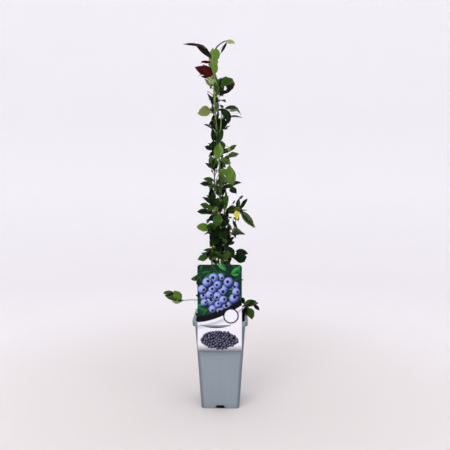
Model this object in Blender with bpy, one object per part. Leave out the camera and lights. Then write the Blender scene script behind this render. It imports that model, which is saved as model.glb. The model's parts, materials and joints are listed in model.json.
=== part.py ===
"""A young blueberry bush in a deep square nursery pot, with its picture label hooked over the rim.

Metres, +Z up. The origin is the middle of the pot's flat underside, and the label faces -Y.
The bush is a clump of thin upright stems. Short side shoots with alternate leaves grow from the
stems by one seeded rule, and each shoot is one solid that stands 0.3 mm clear of its stem.
"""

import math
import random
from typing import NamedTuple

import bmesh
import bpy
from mathutils import Matrix, Vector
from mathutils.bvhtree import BVHTree

GAP = 0.0003

# The pot: a two-litre deep square nursery pot.
POT_HEIGHT = 0.215
RIM_SIDE = 0.130
RIM_HEIGHT = 0.011
RIM_OVERHANG = 0.0055
WALL = 0.0018
FLOOR = 0.0022
BODY_TOP_SIDE = RIM_SIDE - 2 * RIM_OVERHANG
BASE_SIDE = 0.091
RIM_CORNER = 0.012
BODY_CORNER = 0.009
CORNER_STEPS = 4
CUT_MARGIN = 0.004

# The drain notch in the foot of each wall: a trapezium that is widest at the floor.
NOTCH_FOOT = 0.026
NOTCH_HEAD = 0.015
NOTCH_HEIGHT = 0.0085
NOTCH_DEPTH = 0.007

SOIL_DROP = 0.018
SOIL_TOP = POT_HEIGHT - SOIL_DROP

# The label: a plastic card in front of the rim, held by a tongue that hooks over it.
LABEL_WIDTH = 0.102
LABEL_HEIGHT = 0.205
LABEL_TOP = 0.349
LABEL_THICKNESS = 0.0006
LABEL_CORNER = 0.007
LABEL_SHIFT = -0.001
SLOT_WIDTH = 0.078
SLOT_MIDDLE = -0.010
SLOT_LEVEL = POT_HEIGHT - 0.0055
SLOT_UPPER_SAG = 0.0015
SLOT_LOWER_SAG = 0.0085
TONGUE_WIDTH = 0.060
TONGUE_DROP = 0.014
ARC_STEPS = 8

# Stems: name, foot (x, y), tip (x, y, z), foot and tip radius, how far it bows and where to (degrees).
STEMS = (
    ("stem_main", (0.009, -0.003), (-0.017, 0.000, 0.794), 0.0031, 0.0015, 0.003, 0),
    ("stem_right", (-0.005, 0.014), (-0.003, 0.012, 0.600), 0.0027, 0.0013, 0.002, 60),
    ("stem_left", (-0.021, 0.004), (-0.012, 0.010, 0.605), 0.0025, 0.0012, 0.002, 200),
    ("stem_back", (0.006, 0.030), (0.012, 0.024, 0.520), 0.0023, 0.0012, 0.004, 90),
)
STEM_POINTS = 15
STEM_SWAYS = 2.0
STEM_SWAY = 0.0025
FLARE = 0.55
FLARE_HEIGHT = 0.035

# Boughs: name, the stem it forks from and the height of the fork, tip, foot and tip radius, outward bow.
BOUGHS = (
    ("bough_upper", "stem_main", 0.636, (0.002, -0.001, 0.704), (0.0016, 0.0011), 0.02),
    ("bough_right", "stem_right", 0.372, (0.038, 0.004, 0.462), (0.0016, 0.0010), 0.10),
)
BOUGH_POINTS = 7


class Leaf(NamedTuple):
    """A leaf's azimuth, rise, roll and arch in degrees, and its length and width in metres."""

    azimuth: float
    rise: float
    roll: float
    length: float
    width: float
    arch: float


class Shoot(NamedTuple):
    """A side shoot: where it stands, its own direction, its end leaf, and the leaves below that."""

    name: str
    limb: str
    height: float
    azimuth: float
    rise: float
    reach: float
    end_leaf: Leaf
    others: int
    length: float
    splay: float
    lift: float


# Azimuth 0 is +X, 90 is +Y and 270 is the front. A height of TIP is the upper end of the limb.
TIP = -1.0
SHOOTS = (
    Shoot(
        "spray_red_young", "stem_main", 0.783, 190, 42, 0.004,
        Leaf(184, 34, -62, 0.046, 0.028, 14), 1, 0.032, 16, -36,
    ),
    Shoot(
        "spray_crown_pale", "stem_main", 0.757, 200, 45, 0.005,
        Leaf(188, 52, -46, 0.026, 0.016, 4), 0, 0.0, 0, 0,
    ),
    Shoot(
        "spray_crown_curl", "stem_main", 0.75, 335, 66, 0.010,
        Leaf(0, 82, 50, 0.066, 0.025, 190), 0, 0.0, 0, 0,
    ),
    Shoot(
        "spray_crown_right", "stem_main", 0.737, 40, 52, 0.011,
        Leaf(62, 76, 6, 0.048, 0.027, 10), 1, 0.034, 40, -30,
    ),
    Shoot(
        "spray_crown_back", "stem_main", 0.726, 80, 42, 0.014,
        Leaf(86, 20, 30, 0.044, 0.025, 40), 2, 0.040, 44, -6,
    ),
    Shoot(
        "spray_upper_left", "stem_main", 0.699, 184, 24, 0.007,
        Leaf(180, 2, -64, 0.034, 0.029, 12), 1, 0.034, -84, 0,
    ),
    Shoot(
        "spray_fork_tip", "bough_upper", TIP, 350, 50, 0.005,
        Leaf(352, 24, 42, 0.056, 0.027, 98), 1, 0.034, 100, -10,
    ),
    Shoot(
        "spray_fork_right", "bough_upper", 0.688, 20, 30, 0.006,
        Leaf(8, 8, 22, 0.046, 0.019, 14), 0, 0.0, 0, 0,
    ),
    Shoot(
        "spray_fork_rear", "stem_main", 0.652, 118, 56, 0.008,
        Leaf(112, 78, 0, 0.046, 0.018, 8), 2, 0.036, 40, -18,
    ),
    Shoot(
        "spray_fork_middle", "bough_upper", 0.655, 60, 60, 0.006,
        Leaf(66, 75, 0, 0.040, 0.017, 8), 1, 0.032, -70, 0,
    ),
    Shoot(
        "spray_upper_front", "stem_main", 0.622, 296, 58, 0.008,
        Leaf(305, 74, 10, 0.038, 0.017, 10), 1, 0.030, -60, 10,
    ),
    Shoot(
        "spray_gap_right", "stem_right", 0.590, 10, 34, 0.016,
        Leaf(6, 22, 48, 0.034, 0.019, 12), 1, 0.030, 80, -10,
    ),
    Shoot(
        "spray_right_top", "stem_right", TIP, 70, 62, 0.010,
        Leaf(80, 60, 10, 0.042, 0.022, 20), 2, 0.036, 72, -36,
    ),
    Shoot(
        "spray_centre_front", "stem_main", 0.586, 275, 60, 0.007,
        Leaf(272, 78, 0, 0.040, 0.020, -6), 1, 0.030, 76, -60,
    ),
    Shoot(
        "spray_left_tip", "stem_left", TIP, 176, 62, 0.010,
        Leaf(180, 30, -50, 0.024, 0.016, 12), 3, 0.034, -70, -6,
    ),
    Shoot(
        "spray_left_inner", "stem_left", 0.564, 236, 46, 0.007,
        Leaf(246, 70, 10, 0.036, 0.019, 8), 2, 0.032, 66, 10,
    ),
    Shoot(
        "spray_hanging_pale", "stem_right", 0.568, 316, 30, 0.012,
        Leaf(300, -52, 0, 0.028, 0.022, 10), 2, 0.034, 50, 34,
    ),
    Shoot(
        "spray_big_right", "stem_right", 0.523, 352, 10, 0.027,
        Leaf(250, 84, 0, 0.055, 0.028, 8), 1, 0.030, 50, -40,
    ),
    Shoot(
        "spray_small_left", "stem_left", 0.530, 184, 22, 0.005,
        Leaf(180, 10, -56, 0.029, 0.015, 12), 2, 0.032, -70, 4,
    ),
    Shoot(
        "spray_middle_front", "stem_main", 0.516, 282, 52, 0.010,
        Leaf(292, 70, -14, 0.038, 0.020, 8), 3, 0.034, 60, -10,
    ),
    Shoot(
        "spray_waist_upright", "stem_left", 0.478, 140, 56, 0.006,
        Leaf(104, 78, 0, 0.044, 0.020, 8), 3, 0.036, 60, 0,
    ),
    Shoot(
        "spray_waist_left", "stem_left", 0.462, 188, 30, 0.007,
        Leaf(181, 8, -52, 0.035, 0.019, 14), 2, 0.030, 70, -20,
    ),
    Shoot(
        "spray_waist_right", "stem_right", 0.476, 20, 56, 0.010,
        Leaf(75, 76, 0, 0.042, 0.021, 8), 3, 0.036, 80, -6,
    ),
    Shoot(
        "spray_waist_front", "stem_main", 0.458, 262, 44, 0.010,
        Leaf(250, -58, 0, 0.034, 0.022, 12), 4, 0.036, 56, 20,
    ),
    Shoot(
        "spray_outer_right", "bough_right", TIP, 10, 46, 0.012,
        Leaf(0, -46, 58, 0.050, 0.018, 4), 2, 0.032, 110, 0,
    ),
    Shoot(
        "spray_side_left", "stem_left", 0.424, 184, 24, 0.006,
        Leaf(180, 6, -60, 0.035, 0.022, 10), 2, 0.034, -70, -20,
    ),
    Shoot(
        "spray_round_left", "stem_left", 0.450, 224, 30, 0.005,
        Leaf(222, -34, 0, 0.022, 0.018, 10), 1, 0.030, 50, 24,
    ),
    Shoot(
        "spray_cluster_rear", "stem_right", 0.402, 118, 60, 0.010,
        Leaf(112, 74, 0, 0.046, 0.025, 10), 3, 0.040, 66, -24,
    ),
    Shoot(
        "spray_cluster_front", "stem_main", 0.402, 258, 30, 0.010,
        Leaf(228, -24, -16, 0.038, 0.026, 20), 5, 0.038, 46, 10,
    ),
    Shoot(
        "spray_cluster_side", "stem_main", 0.382, 330, 34, 0.009,
        Leaf(340, -48, 30, 0.036, 0.024, 16), 3, 0.036, 60, 4,
    ),
    Shoot(
        "spray_skirt_left", "stem_left", 0.356, 208, 28, 0.005,
        Leaf(194, -8, -44, 0.030, 0.020, 18), 3, 0.034, 60, -4,
    ),
    Shoot(
        "spray_skirt_front", "stem_main", 0.346, 286, 34, 0.010,
        Leaf(300, -34, 16, 0.036, 0.022, 16), 4, 0.036, 60, 8,
    ),
    Shoot(
        "spray_skirt_right", "stem_right", 0.350, 352, 18, 0.036,
        Leaf(352, 4, 50, 0.032, 0.020, 16), 2, 0.036, 40, -16,
    ),
    Shoot(
        "spray_back_tip", "stem_back", TIP, 60, 62, 0.016,
        Leaf(70, 40, 20, 0.044, 0.024, 24), 3, 0.040, 70, -40,
    ),
    Shoot(
        "spray_waist_back", "stem_back", 0.462, 96, 42, 0.018,
        Leaf(110, 24, -30, 0.044, 0.025, 30), 3, 0.042, 64, -22,
    ),
    Shoot(
        "spray_low_waist_back", "stem_back", 0.402, 50, 38, 0.020,
        Leaf(40, 10, 40, 0.046, 0.026, 30), 3, 0.042, 64, -24,
    ),
    Shoot(
        "spray_skirt_back", "stem_back", 0.345, 120, 34, 0.022,
        Leaf(125, 6, -36, 0.046, 0.026, 30), 4, 0.044, 60, -20,
    ),
    Shoot(
        "spray_low_back", "stem_back", 0.280, 70, 32, 0.024,
        Leaf(60, 10, 30, 0.046, 0.026, 30), 4, 0.044, 64, -18,
    ),
    Shoot(
        "spray_low_side", "stem_left", 0.290, 150, 34, 0.020,
        Leaf(165, 6, -44, 0.042, 0.024, 26), 3, 0.040, 60, -16,
    ),
    Shoot(
        "spray_low_front", "stem_main", 0.285, 300, 40, 0.014,
        Leaf(310, 14, 30, 0.036, 0.021, 24), 2, 0.034, 60, -16,
    ),
    Shoot(
        "spray_low_left", "stem_left", 0.246, 181, 9, 0.074,
        Leaf(178, 20, -54, 0.045, 0.018, 14), 1, 0.03, 60, 0,
    ),
    Shoot(
        "spray_low_right", "stem_main", 0.228, 4, 16, 0.047,
        Leaf(0, 34, 44, 0.040, 0.017, 70), 2, 0.038, 72, -6,
    ),
)
# Leaves that crowd near the end of a shoot: share of its reach, and the leaf.
CROWDED = {
    "spray_low_left": (
        (0.98, Leaf(184, 54, -62, 0.032, 0.019, 10)),
        (0.94, Leaf(200, 6, -50, 0.024, 0.015, 20)),
    ),
    "spray_low_right": (
        (0.96, Leaf(352, 30, 58, 0.033, 0.020, 14)),
        (0.90, Leaf(336, -46, 30, 0.035, 0.025, 16)),
    ),
    "spray_outer_right": (
        (0.96, Leaf(24, 62, 40, 0.038, 0.012, 30)),
        (0.90, Leaf(262, 16, 0, 0.019, 0.016, 20)),
        (0.55, Leaf(248, -64, 30, 0.026, 0.011, 10)),
    ),
    "spray_skirt_right": ((0.92, Leaf(340, -14, 46, 0.034, 0.018, 16)),),
}
SHOOT_RADII = (0.0011, 0.0006)
SHOOT_POINTS = 6
SHOOT_ARCH = 14.0
FIRST_LEAF = 0.40
PITCH_JITTER = 20.0
TURN_JITTER = 14.0
ROLL_SPREAD = 58.0

# The leading shoot at the top carries its leaves one by one: share of its reach, and the leaf.
TIP_SHOOT = "spray_top"
TIP_REACH = 0.032
TIP_LEAVES = (
    (1.00, Leaf(180, 59, -34, 0.083, 0.022, 62)),
    (0.55, Leaf(268, 82, 0, 0.040, 0.022, -8)),
    (0.10, Leaf(260, 78, 0, 0.040, 0.024, -6)),
    (0.90, Leaf(6, 88, 18, 0.078, 0.016, 84)),
    (0.74, Leaf(182, 6, -30, 0.032, 0.009, 20)),
    (0.40, Leaf(92, 52, 0, 0.050, 0.026, 40)),
)

# One leaf: a thin blade on a short stalk, folded a little on its midrib and arched along it.
LEAF_WIDTH_SHARE = 0.58
LEAF_STATIONS = (0.0, 0.10, 0.34, 0.66, 1.0)
LEAF_STALK_SHARE = 0.10
LEAF_STALK_HALF = 0.0007
LEAF_TIP_HALF = 0.0004
LEAF_ARCH = 34.0
LEAF_FOLD = 16.0
LEAF_SHARE_THICK = 0.014
LEAF_THINNEST = 0.0006
LEAF_TEST_THICK = 0.0012
# A leaf that would touch something is turned aside by these steps, and left out if none is clear.
LEAF_TURNS = (0, 12, -12, 24, -24, 38, -38)

POT_GREY = (0.262, 0.308, 0.352)
SOIL_BROWN = (0.018, 0.012, 0.009)
LABEL_GREEN = (0.030, 0.075, 0.060)
STEM_GREEN = (0.115, 0.150, 0.036)
LEAF_GREEN = (0.045, 0.095, 0.020)
LEAF_RED = (0.075, 0.010, 0.010)


def clear_scene():
    """Removes every object of the start-up scene."""
    for thing in list(bpy.data.objects):
        bpy.data.objects.remove(thing, do_unlink=True)


def new_collection(name, shown=True):
    """A collection linked to the scene, hidden from renders where it only holds cutters."""
    collection = bpy.data.collections.new(name)
    bpy.context.scene.collection.children.link(collection)
    collection.hide_render = not shown
    return collection


def plain_material(name, color, roughness):
    """A Principled material of one colour."""
    material = bpy.data.materials.new(name)
    material.use_nodes = True
    shader = material.node_tree.nodes["Principled BSDF"]
    shader.inputs["Base Color"].default_value = (*color, 1.0)
    shader.inputs["Roughness"].default_value = roughness
    shader.inputs["Metallic"].default_value = 0.0
    return material


def object_of(bm, name, collection, material=None):
    """Turns a bmesh into an object of the collection."""
    mesh = bpy.data.meshes.new(name)
    bm.normal_update()
    bm.to_mesh(mesh)
    bm.free()
    thing = bpy.data.objects.new(name, mesh)
    collection.objects.link(thing)
    if material:
        mesh.materials.append(material)
    return thing


def evaluated_mesh(thing):
    """The object's mesh with its modifiers or curve bevel worked out, its caps welded."""
    graph = bpy.context.evaluated_depsgraph_get()
    graph.update()
    mesh = bpy.data.meshes.new_from_object(thing.evaluated_get(graph))
    bm = bmesh.new()
    bm.from_mesh(mesh)
    bmesh.ops.remove_doubles(bm, verts=bm.verts, dist=1e-6)
    bm.to_mesh(mesh)
    bm.free()
    return mesh


def bake(thing):
    """Replaces the object's data by its worked out mesh and drops the modifiers."""
    mesh = evaluated_mesh(thing)
    thing.modifiers.clear()
    thing.data = mesh


def boolean(thing, operation, operand, solver="EXACT"):
    """Adds and applies one Boolean with an object or with a whole collection."""
    step = thing.modifiers.new(operation.lower(), "BOOLEAN")
    step.operation = operation
    step.solver = solver
    if isinstance(operand, bpy.types.Collection):
        step.operand_type = "COLLECTION"
        step.collection = operand
    else:
        step.object = operand
    bake(thing)


def remove_all(collection):
    """Deletes the objects of a helper collection, and the collection."""
    for thing in list(collection.objects):
        bpy.data.objects.remove(thing, do_unlink=True)
    bpy.data.collections.remove(collection)


def tapered_box(name, low_side, high_side, low, high, corner, collection, material=None):
    """A square block from height low to high, its side growing from one to the other, its corners round."""
    bm = bmesh.new()
    bmesh.ops.create_cube(bm, size=1.0)
    for vert in bm.verts:
        top = vert.co.z > 0
        side = high_side if top else low_side
        vert.co = Vector((vert.co.x * side, vert.co.y * side, high if top else low))
    upright = [e for e in bm.edges if abs(e.verts[0].co.z - e.verts[1].co.z) > 0.5 * (high - low)]
    bmesh.ops.bevel(
        bm, geom=upright, offset=corner, segments=CORNER_STEPS, profile=0.5, affect="EDGES"
    )
    return object_of(bm, name, collection, material)


def body_side(height):
    """Outer side of the pot's body at a height."""
    return BASE_SIDE + (BODY_TOP_SIDE - BASE_SIDE) * height / POT_HEIGHT


def notch_cutter(turn, collection):
    """A wedge that cuts the drain notch out of the wall that faces the given turn."""
    bm = bmesh.new()
    bmesh.ops.create_cube(bm, size=1.0)
    for vert in bm.verts:
        width = NOTCH_HEAD if vert.co.z > 0 else NOTCH_FOOT
        height = NOTCH_HEIGHT if vert.co.z > 0 else -CUT_MARGIN
        inward = BASE_SIDE / 2 - NOTCH_DEPTH
        outward = BASE_SIDE / 2 + CUT_MARGIN
        vert.co = Vector((vert.co.x * width, -(inward if vert.co.y > 0 else outward), height))
    bmesh.ops.rotate(bm, verts=bm.verts, cent=(0, 0, 0), matrix=Matrix.Rotation(turn, 3, "Z"))
    return object_of(bm, "notch_cutter", collection)


def make_pot(parts, cutters, material):
    """The pot's wall, floor and turned-down rim, with a drain notch in the foot of each wall."""
    pot = tapered_box("pot", BASE_SIDE, BODY_TOP_SIDE, 0.0, POT_HEIGHT, BODY_CORNER, parts, material)
    rim_foot = POT_HEIGHT - RIM_HEIGHT
    rim = tapered_box("rim", RIM_SIDE - 0.001, RIM_SIDE, rim_foot, POT_HEIGHT, RIM_CORNER, cutters)
    under_side = RIM_SIDE - 2 * WALL
    under = tapered_box(
        "rim_under", under_side - 0.001, under_side, rim_foot - CUT_MARGIN, POT_HEIGHT - WALL,
        RIM_CORNER - WALL, cutters,
    )
    boolean(rim, "DIFFERENCE", under)
    boolean(pot, "UNION", rim)
    top = POT_HEIGHT + CUT_MARGIN
    hollow = tapered_box(
        "hollow", body_side(FLOOR) - 2 * WALL, body_side(top) - 2 * WALL, FLOOR, top,
        BODY_CORNER - WALL, cutters,
    )
    boolean(pot, "DIFFERENCE", hollow)
    for quarter in range(4):
        boolean(pot, "DIFFERENCE", notch_cutter(quarter * math.pi / 2, cutters))
    return pot


def make_soil(parts, material):
    """The block of potting soil, clear of the walls and the floor by the gap."""
    low = FLOOR + GAP
    clear = 2 * (WALL + GAP)
    return tapered_box(
        "soil", body_side(low) - clear, body_side(SOIL_TOP) - clear, low, SOIL_TOP,
        BODY_CORNER - WALL, parts, material,
    )


def flat_outline(name, points, thickness, collection):
    """A plate in the XZ plane cut to a closed outline, its back at y = 0 and its front at -thickness."""
    curve = bpy.data.curves.new(name, "CURVE")
    curve.dimensions = "2D"
    curve.fill_mode = "BOTH"
    curve.extrude = thickness / 2
    spline = curve.splines.new("POLY")
    spline.points.add(len(points) - 1)
    for point, (x, z) in zip(spline.points, points):
        point.co = (x, z, 0.0, 1.0)
    spline.use_cyclic_u = True
    flat = bpy.data.objects.new(name, curve)
    collection.objects.link(flat)
    mesh = evaluated_mesh(flat)
    mesh.transform(Matrix.Translation((0, -thickness / 2, 0)) @ Matrix.Rotation(math.pi / 2, 4, "X"))
    bpy.data.objects.remove(flat, do_unlink=True)
    plate = bpy.data.objects.new(name, mesh)
    collection.objects.link(plate)
    return plate


def card_outline():
    """The label's rectangle with its four corners rounded."""
    half = LABEL_WIDTH / 2 - LABEL_CORNER
    low = LABEL_TOP - LABEL_HEIGHT + LABEL_CORNER
    high = LABEL_TOP - LABEL_CORNER
    points = []
    for corner, (x, z) in enumerate(((half, high), (-half, high), (-half, low), (half, low))):
        for step in range(ARC_STEPS + 1):
            turn = math.radians(90 * (corner + step / ARC_STEPS))
            points.append(
                (LABEL_SHIFT + x + LABEL_CORNER * math.cos(turn), z + LABEL_CORNER * math.sin(turn))
            )
    return points


def slot_outline():
    """The crescent through which the rim shows: two sagging arcs that meet at its ends."""
    points = []
    for sag, way in ((SLOT_UPPER_SAG, 1), (SLOT_LOWER_SAG, -1)):
        for step in range(ARC_STEPS):
            across = way * (2 * step / ARC_STEPS - 1)
            x = SLOT_MIDDLE + across * SLOT_WIDTH / 2
            points.append((x, SLOT_LEVEL - sag * (1 - across * across)))
    return points


def box_between(name, low, high, collection):
    """A plain block between two corners."""
    bm = bmesh.new()
    bmesh.ops.create_cube(bm, size=1.0)
    low, high = Vector(low), Vector(high)
    for vert in bm.verts:
        vert.co = Vector(high[i] if vert.co[i] > 0 else low[i] for i in range(3))
    return object_of(bm, name, collection)


def make_label(parts, cutters, material):
    """The picture label: a card with the slot for the rim, and the tongue that holds it there."""
    back = -(RIM_SIDE / 2 + GAP)
    label = flat_outline("label", card_outline(), LABEL_THICKNESS, parts)
    label.data.transform(Matrix.Translation((0, back, 0)))
    label.data.materials.append(material)
    cutter = flat_outline("slot_cutter", slot_outline(), 6 * LABEL_THICKNESS, cutters)
    cutter.data.transform(Matrix.Translation((0, back + 2 * LABEL_THICKNESS, 0)))
    boolean(label, "DIFFERENCE", cutter)
    half = TONGUE_WIDTH / 2
    over = POT_HEIGHT + GAP
    inside = -(body_side(POT_HEIGHT - TONGUE_DROP) / 2 - WALL - GAP)
    across = box_between(
        "tongue_over",
        (SLOT_MIDDLE - half, back - LABEL_THICKNESS / 2, over),
        (SLOT_MIDDLE + half, inside + LABEL_THICKNESS, over + LABEL_THICKNESS),
        cutters,
    )
    down = box_between(
        "tongue_down",
        (SLOT_MIDDLE - half, inside, POT_HEIGHT - TONGUE_DROP),
        (SLOT_MIDDLE + half, inside + LABEL_THICKNESS, over + LABEL_THICKNESS / 2),
        cutters,
    )
    boolean(label, "UNION", across)
    boolean(label, "UNION", down)
    return label


def tube(name, points, radii, collection, sides_step=2, material=None):
    """A tapering limb: a bevelled curve through the points, made a mesh with welded caps."""
    curve = bpy.data.curves.new(name, "CURVE")
    curve.dimensions = "3D"
    curve.bevel_depth = 1.0
    curve.bevel_resolution = sides_step
    curve.use_fill_caps = True
    spline = curve.splines.new("POLY")
    spline.points.add(len(points) - 1)
    for point, place, radius in zip(spline.points, points, radii):
        point.co = (*place, 1.0)
        point.radius = radius
    limb = bpy.data.objects.new(name, curve)
    collection.objects.link(limb)
    mesh = evaluated_mesh(limb)
    bpy.data.objects.remove(limb, do_unlink=True)
    solid = bpy.data.objects.new(name, mesh)
    collection.objects.link(solid)
    if material:
        mesh.materials.clear()
        mesh.materials.append(material)
    return solid


def stem_path(foot, tip, bow, bow_azimuth):
    """Points up a stem: a line from foot to tip, bowed once and swaying a little from side to side."""
    start = Vector((foot[0], foot[1], SOIL_TOP + GAP))
    end = Vector(tip)
    turn = math.radians(bow_azimuth)
    points = []
    for step in range(STEM_POINTS):
        t = step / (STEM_POINTS - 1)
        ease = math.sin(math.pi * t)
        sway = STEM_SWAY * ease * math.sin(2 * math.pi * STEM_SWAYS * t)
        point = start.lerp(end, t)
        point += bow * ease * Vector((math.cos(turn), math.sin(turn), 0))
        point += sway * Vector((1.0, 0.4, 0.0))
        points.append(point)
    points[1].x, points[1].y = points[0].x, points[0].y
    return points


def stem_radii(points, foot_radius, tip_radius):
    """An even taper, with the foot flared where the stem leaves the soil."""
    radii = []
    for step, point in enumerate(points):
        t = step / (len(points) - 1)
        above = max(0.0, point.z - SOIL_TOP)
        flare = 1 + FLARE * math.exp(-above / FLARE_HEIGHT * 2)
        radii.append((foot_radius + (tip_radius - foot_radius) * t) * flare)
    return radii


def bough_path(parent, fork_height, tip, foot_radius, bow):
    """Points out along a bough, which leaves its stem's surface and turns upwards."""
    at, radius = limb_at(parent, fork_height)
    end = Vector(tip)
    out = Vector((end.x - at.x, end.y - at.y, 0)).normalized()
    start = at + out * (radius + GAP + foot_radius)
    points = []
    for step in range(BOUGH_POINTS):
        t = step / (BOUGH_POINTS - 1)
        points.append(start.lerp(end, t) + out * bow * (end - start).length * math.sin(math.pi * t))
    return points


def limb_at(limb, height):
    """The centre and radius of a limb, given as (points, radii), at a height."""
    points, radii = limb
    for low, high, r_low, r_high in zip(points, points[1:], radii, radii[1:]):
        if low.z <= height <= high.z:
            t = (height - low.z) / (high.z - low.z)
            return low.lerp(high, t), r_low + (r_high - r_low) * t
    return points[-1].copy(), radii[-1]


def aim(azimuth, rise):
    """The unit vector with this azimuth and rise, in degrees."""
    a, e = math.radians(azimuth), math.radians(rise)
    return Vector((math.cos(a) * math.cos(e), math.sin(a) * math.cos(e), math.sin(e)))


def shoot_path(start, azimuth, rise, reach):
    """Points along a side shoot, which flattens a little towards its tip."""
    points = [start.copy()]
    for step in range(1, SHOOT_POINTS):
        slope = rise - SHOOT_ARCH * (step - 1) / (SHOOT_POINTS - 2)
        points.append(points[-1] + aim(azimuth, slope) * reach / (SHOOT_POINTS - 1))
    return points


def along(points, share):
    """The point at a share of the way along evenly spaced points."""
    place = share * (len(points) - 1)
    low = min(int(place), len(points) - 2)
    return points[low].lerp(points[low + 1], place - low)


def shoot_leaves(shoot, points):
    """A shoot's leaves: those at its end, then by a seeded rule the others, on alternate sides below."""
    rule = random.Random(shoot.name)
    leaves = [(points[-1], shoot.end_leaf)]
    leaves += [(along(points, share), leaf) for share, leaf in CROWDED.get(shoot.name, ())]
    for index in range(shoot.others):
        share = 0.88 - (0.88 - FIRST_LEAF) * index / max(1, shoot.others - 1)
        side = -1 if index % 2 else 1
        turn = side * shoot.splay * rule.uniform(0.85, 1.2) + rule.uniform(-TURN_JITTER, TURN_JITTER)
        pitch = shoot.rise + shoot.lift + rule.uniform(-PITCH_JITTER, PITCH_JITTER)
        roll = rule.uniform(-ROLL_SPREAD, ROLL_SPREAD)
        length = shoot.length * rule.uniform(0.84, 1.1)
        arch = LEAF_ARCH * rule.uniform(0.4, 1.4)
        leaf = Leaf(shoot.azimuth + turn, pitch, roll, length, length * LEAF_WIDTH_SHARE, arch)
        leaves.append((along(points, share), leaf))
    return leaves


def leaf_half_width(t, width):
    """Half the leaf's width at a share t of its length: a thin stalk, then an oval with a pointed end."""
    if t <= LEAF_STALK_SHARE:
        return LEAF_STALK_HALF
    u = (t - LEAF_STALK_SHARE) / (1 - LEAF_STALK_SHARE)
    return max(LEAF_TIP_HALF, math.sin(math.pi * u**0.85) ** 0.75 * width / 2) if u < 1 else LEAF_TIP_HALF


def leaf_bmesh(base, leaf, thickness):
    """A closed thin blade: its midrib is an arc, and its two halves are folded up from it."""
    forward = aim(leaf.azimuth, leaf.rise)
    upward = aim(leaf.azimuth, leaf.rise + 90)
    upward.rotate(Matrix.Rotation(math.radians(leaf.roll), 3, forward))
    across = forward.cross(upward)
    bend = math.radians(leaf.arch)
    fold = math.radians(LEAF_FOLD)
    bm = bmesh.new()
    bmesh.ops.create_grid(bm, x_segments=len(LEAF_STATIONS) - 1, y_segments=2, size=1.0)
    for vert in bm.verts:
        t = LEAF_STATIONS[round((vert.co.x + 1) / 2 * (len(LEAF_STATIONS) - 1))]
        side = vert.co.y
        spine = base + leaf.length / bend * (
            math.sin(bend * t) * forward - (1 - math.cos(bend * t)) * upward
        )
        normal = math.sin(bend * t) * forward + math.cos(bend * t) * upward
        half = leaf_half_width(t, leaf.width)
        vert.co = spine + half * (side * math.cos(fold) * across + abs(side) * math.sin(fold) * normal)
    bmesh.ops.solidify(bm, geom=bm.faces[:], thickness=thickness)
    bmesh.ops.recalc_face_normals(bm, faces=bm.faces[:])
    return bm


def touches(bm, blockers):
    """True where the mesh meets one of the trees of what stands already."""
    tree = BVHTree.FromBMesh(bm)
    return any(tree.overlap(blocker) for blocker in blockers)


def tree_of(thing):
    """A search tree of an object's faces."""
    bm = bmesh.new()
    bm.from_mesh(thing.data)
    tree = BVHTree.FromBMesh(bm)
    bm.free()
    return tree


def make_spray(name, points, leaves, blockers, parts, material):
    """One shoot with its leaves joined on, leaving out each leaf that would touch what stands already."""
    spray = tube(name, points, taper(len(points), SHOOT_RADII), parts, sides_step=1, material=material)
    pieces = new_collection(name + "_pieces", shown=False)
    for base, wanted in leaves:
        for turn in LEAF_TURNS:
            leaf = wanted._replace(azimuth=wanted.azimuth + turn)
            test = leaf_bmesh(base, leaf, LEAF_TEST_THICK)
            free = not touches(test, blockers)
            test.free()
            if free:
                thickness = max(LEAF_THINNEST, leaf.length * LEAF_SHARE_THICK)
                object_of(leaf_bmesh(base, leaf, thickness), name + "_leaf", pieces)
                break
    if pieces.objects:
        boolean(spray, "UNION", pieces)
    remove_all(pieces)
    return spray


def taper(count, radii):
    """Evenly spaced radii from the first to the second value."""
    return [radii[0] + (radii[1] - radii[0]) * i / (count - 1) for i in range(count)]


def shoot_start(shoot, limb):
    """Where a side shoot begins: at its limb's tip, or on its side, clear of it by the gap."""
    points, radii = limb
    if shoot.height == TIP:
        growth = (points[-1] - points[-2]).normalized()
        lift = SHOOT_RADII[0] * math.cos(math.radians(shoot.rise))
        return points[-1] + growth * GAP + Vector((0, 0, lift))
    at, radius = limb_at(limb, shoot.height)
    out = radius + GAP + SHOOT_RADII[0] * math.sin(math.radians(shoot.rise))
    return at + aim(shoot.azimuth, 0) * out


def make_bush(parts, blockers, materials):
    """The stems, the boughs, and then each side shoot from the tip downwards."""
    limbs = {}
    for name, foot, tip, foot_radius, tip_radius, bow, bow_azimuth in STEMS:
        points = stem_path(foot, tip, bow, bow_azimuth)
        limbs[name] = (points, stem_radii(points, foot_radius, tip_radius))
    for name, parent, fork_height, tip, radii, bow in BOUGHS:
        points = bough_path(limbs[parent], fork_height, tip, radii[0], bow)
        limbs[name] = (points, taper(BOUGH_POINTS, radii))
    for name, (points, radii) in limbs.items():
        blockers.append(tree_of(tube(name, points, radii, parts, material=materials["stem"])))

    points, radii = limbs["stem_main"]
    growth = (points[-1] - points[-2]).normalized()
    start = points[-1] + growth * GAP
    spine = [start + growth * TIP_REACH * i / (SHOOT_POINTS - 1) for i in range(SHOOT_POINTS)]
    leaves = [(along(spine, share), leaf) for share, leaf in TIP_LEAVES]
    blockers.append(tree_of(make_spray(TIP_SHOOT, spine, leaves, blockers, parts, materials["leaf"])))

    for shoot in SHOOTS:
        path = shoot_path(shoot_start(shoot, limbs[shoot.limb]), shoot.azimuth, shoot.rise, shoot.reach)
        finish = materials["red"] if "red" in shoot.name else materials["leaf"]
        leaves = shoot_leaves(shoot, path)
        blockers.append(tree_of(make_spray(shoot.name, path, leaves, blockers, parts, finish)))


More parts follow.
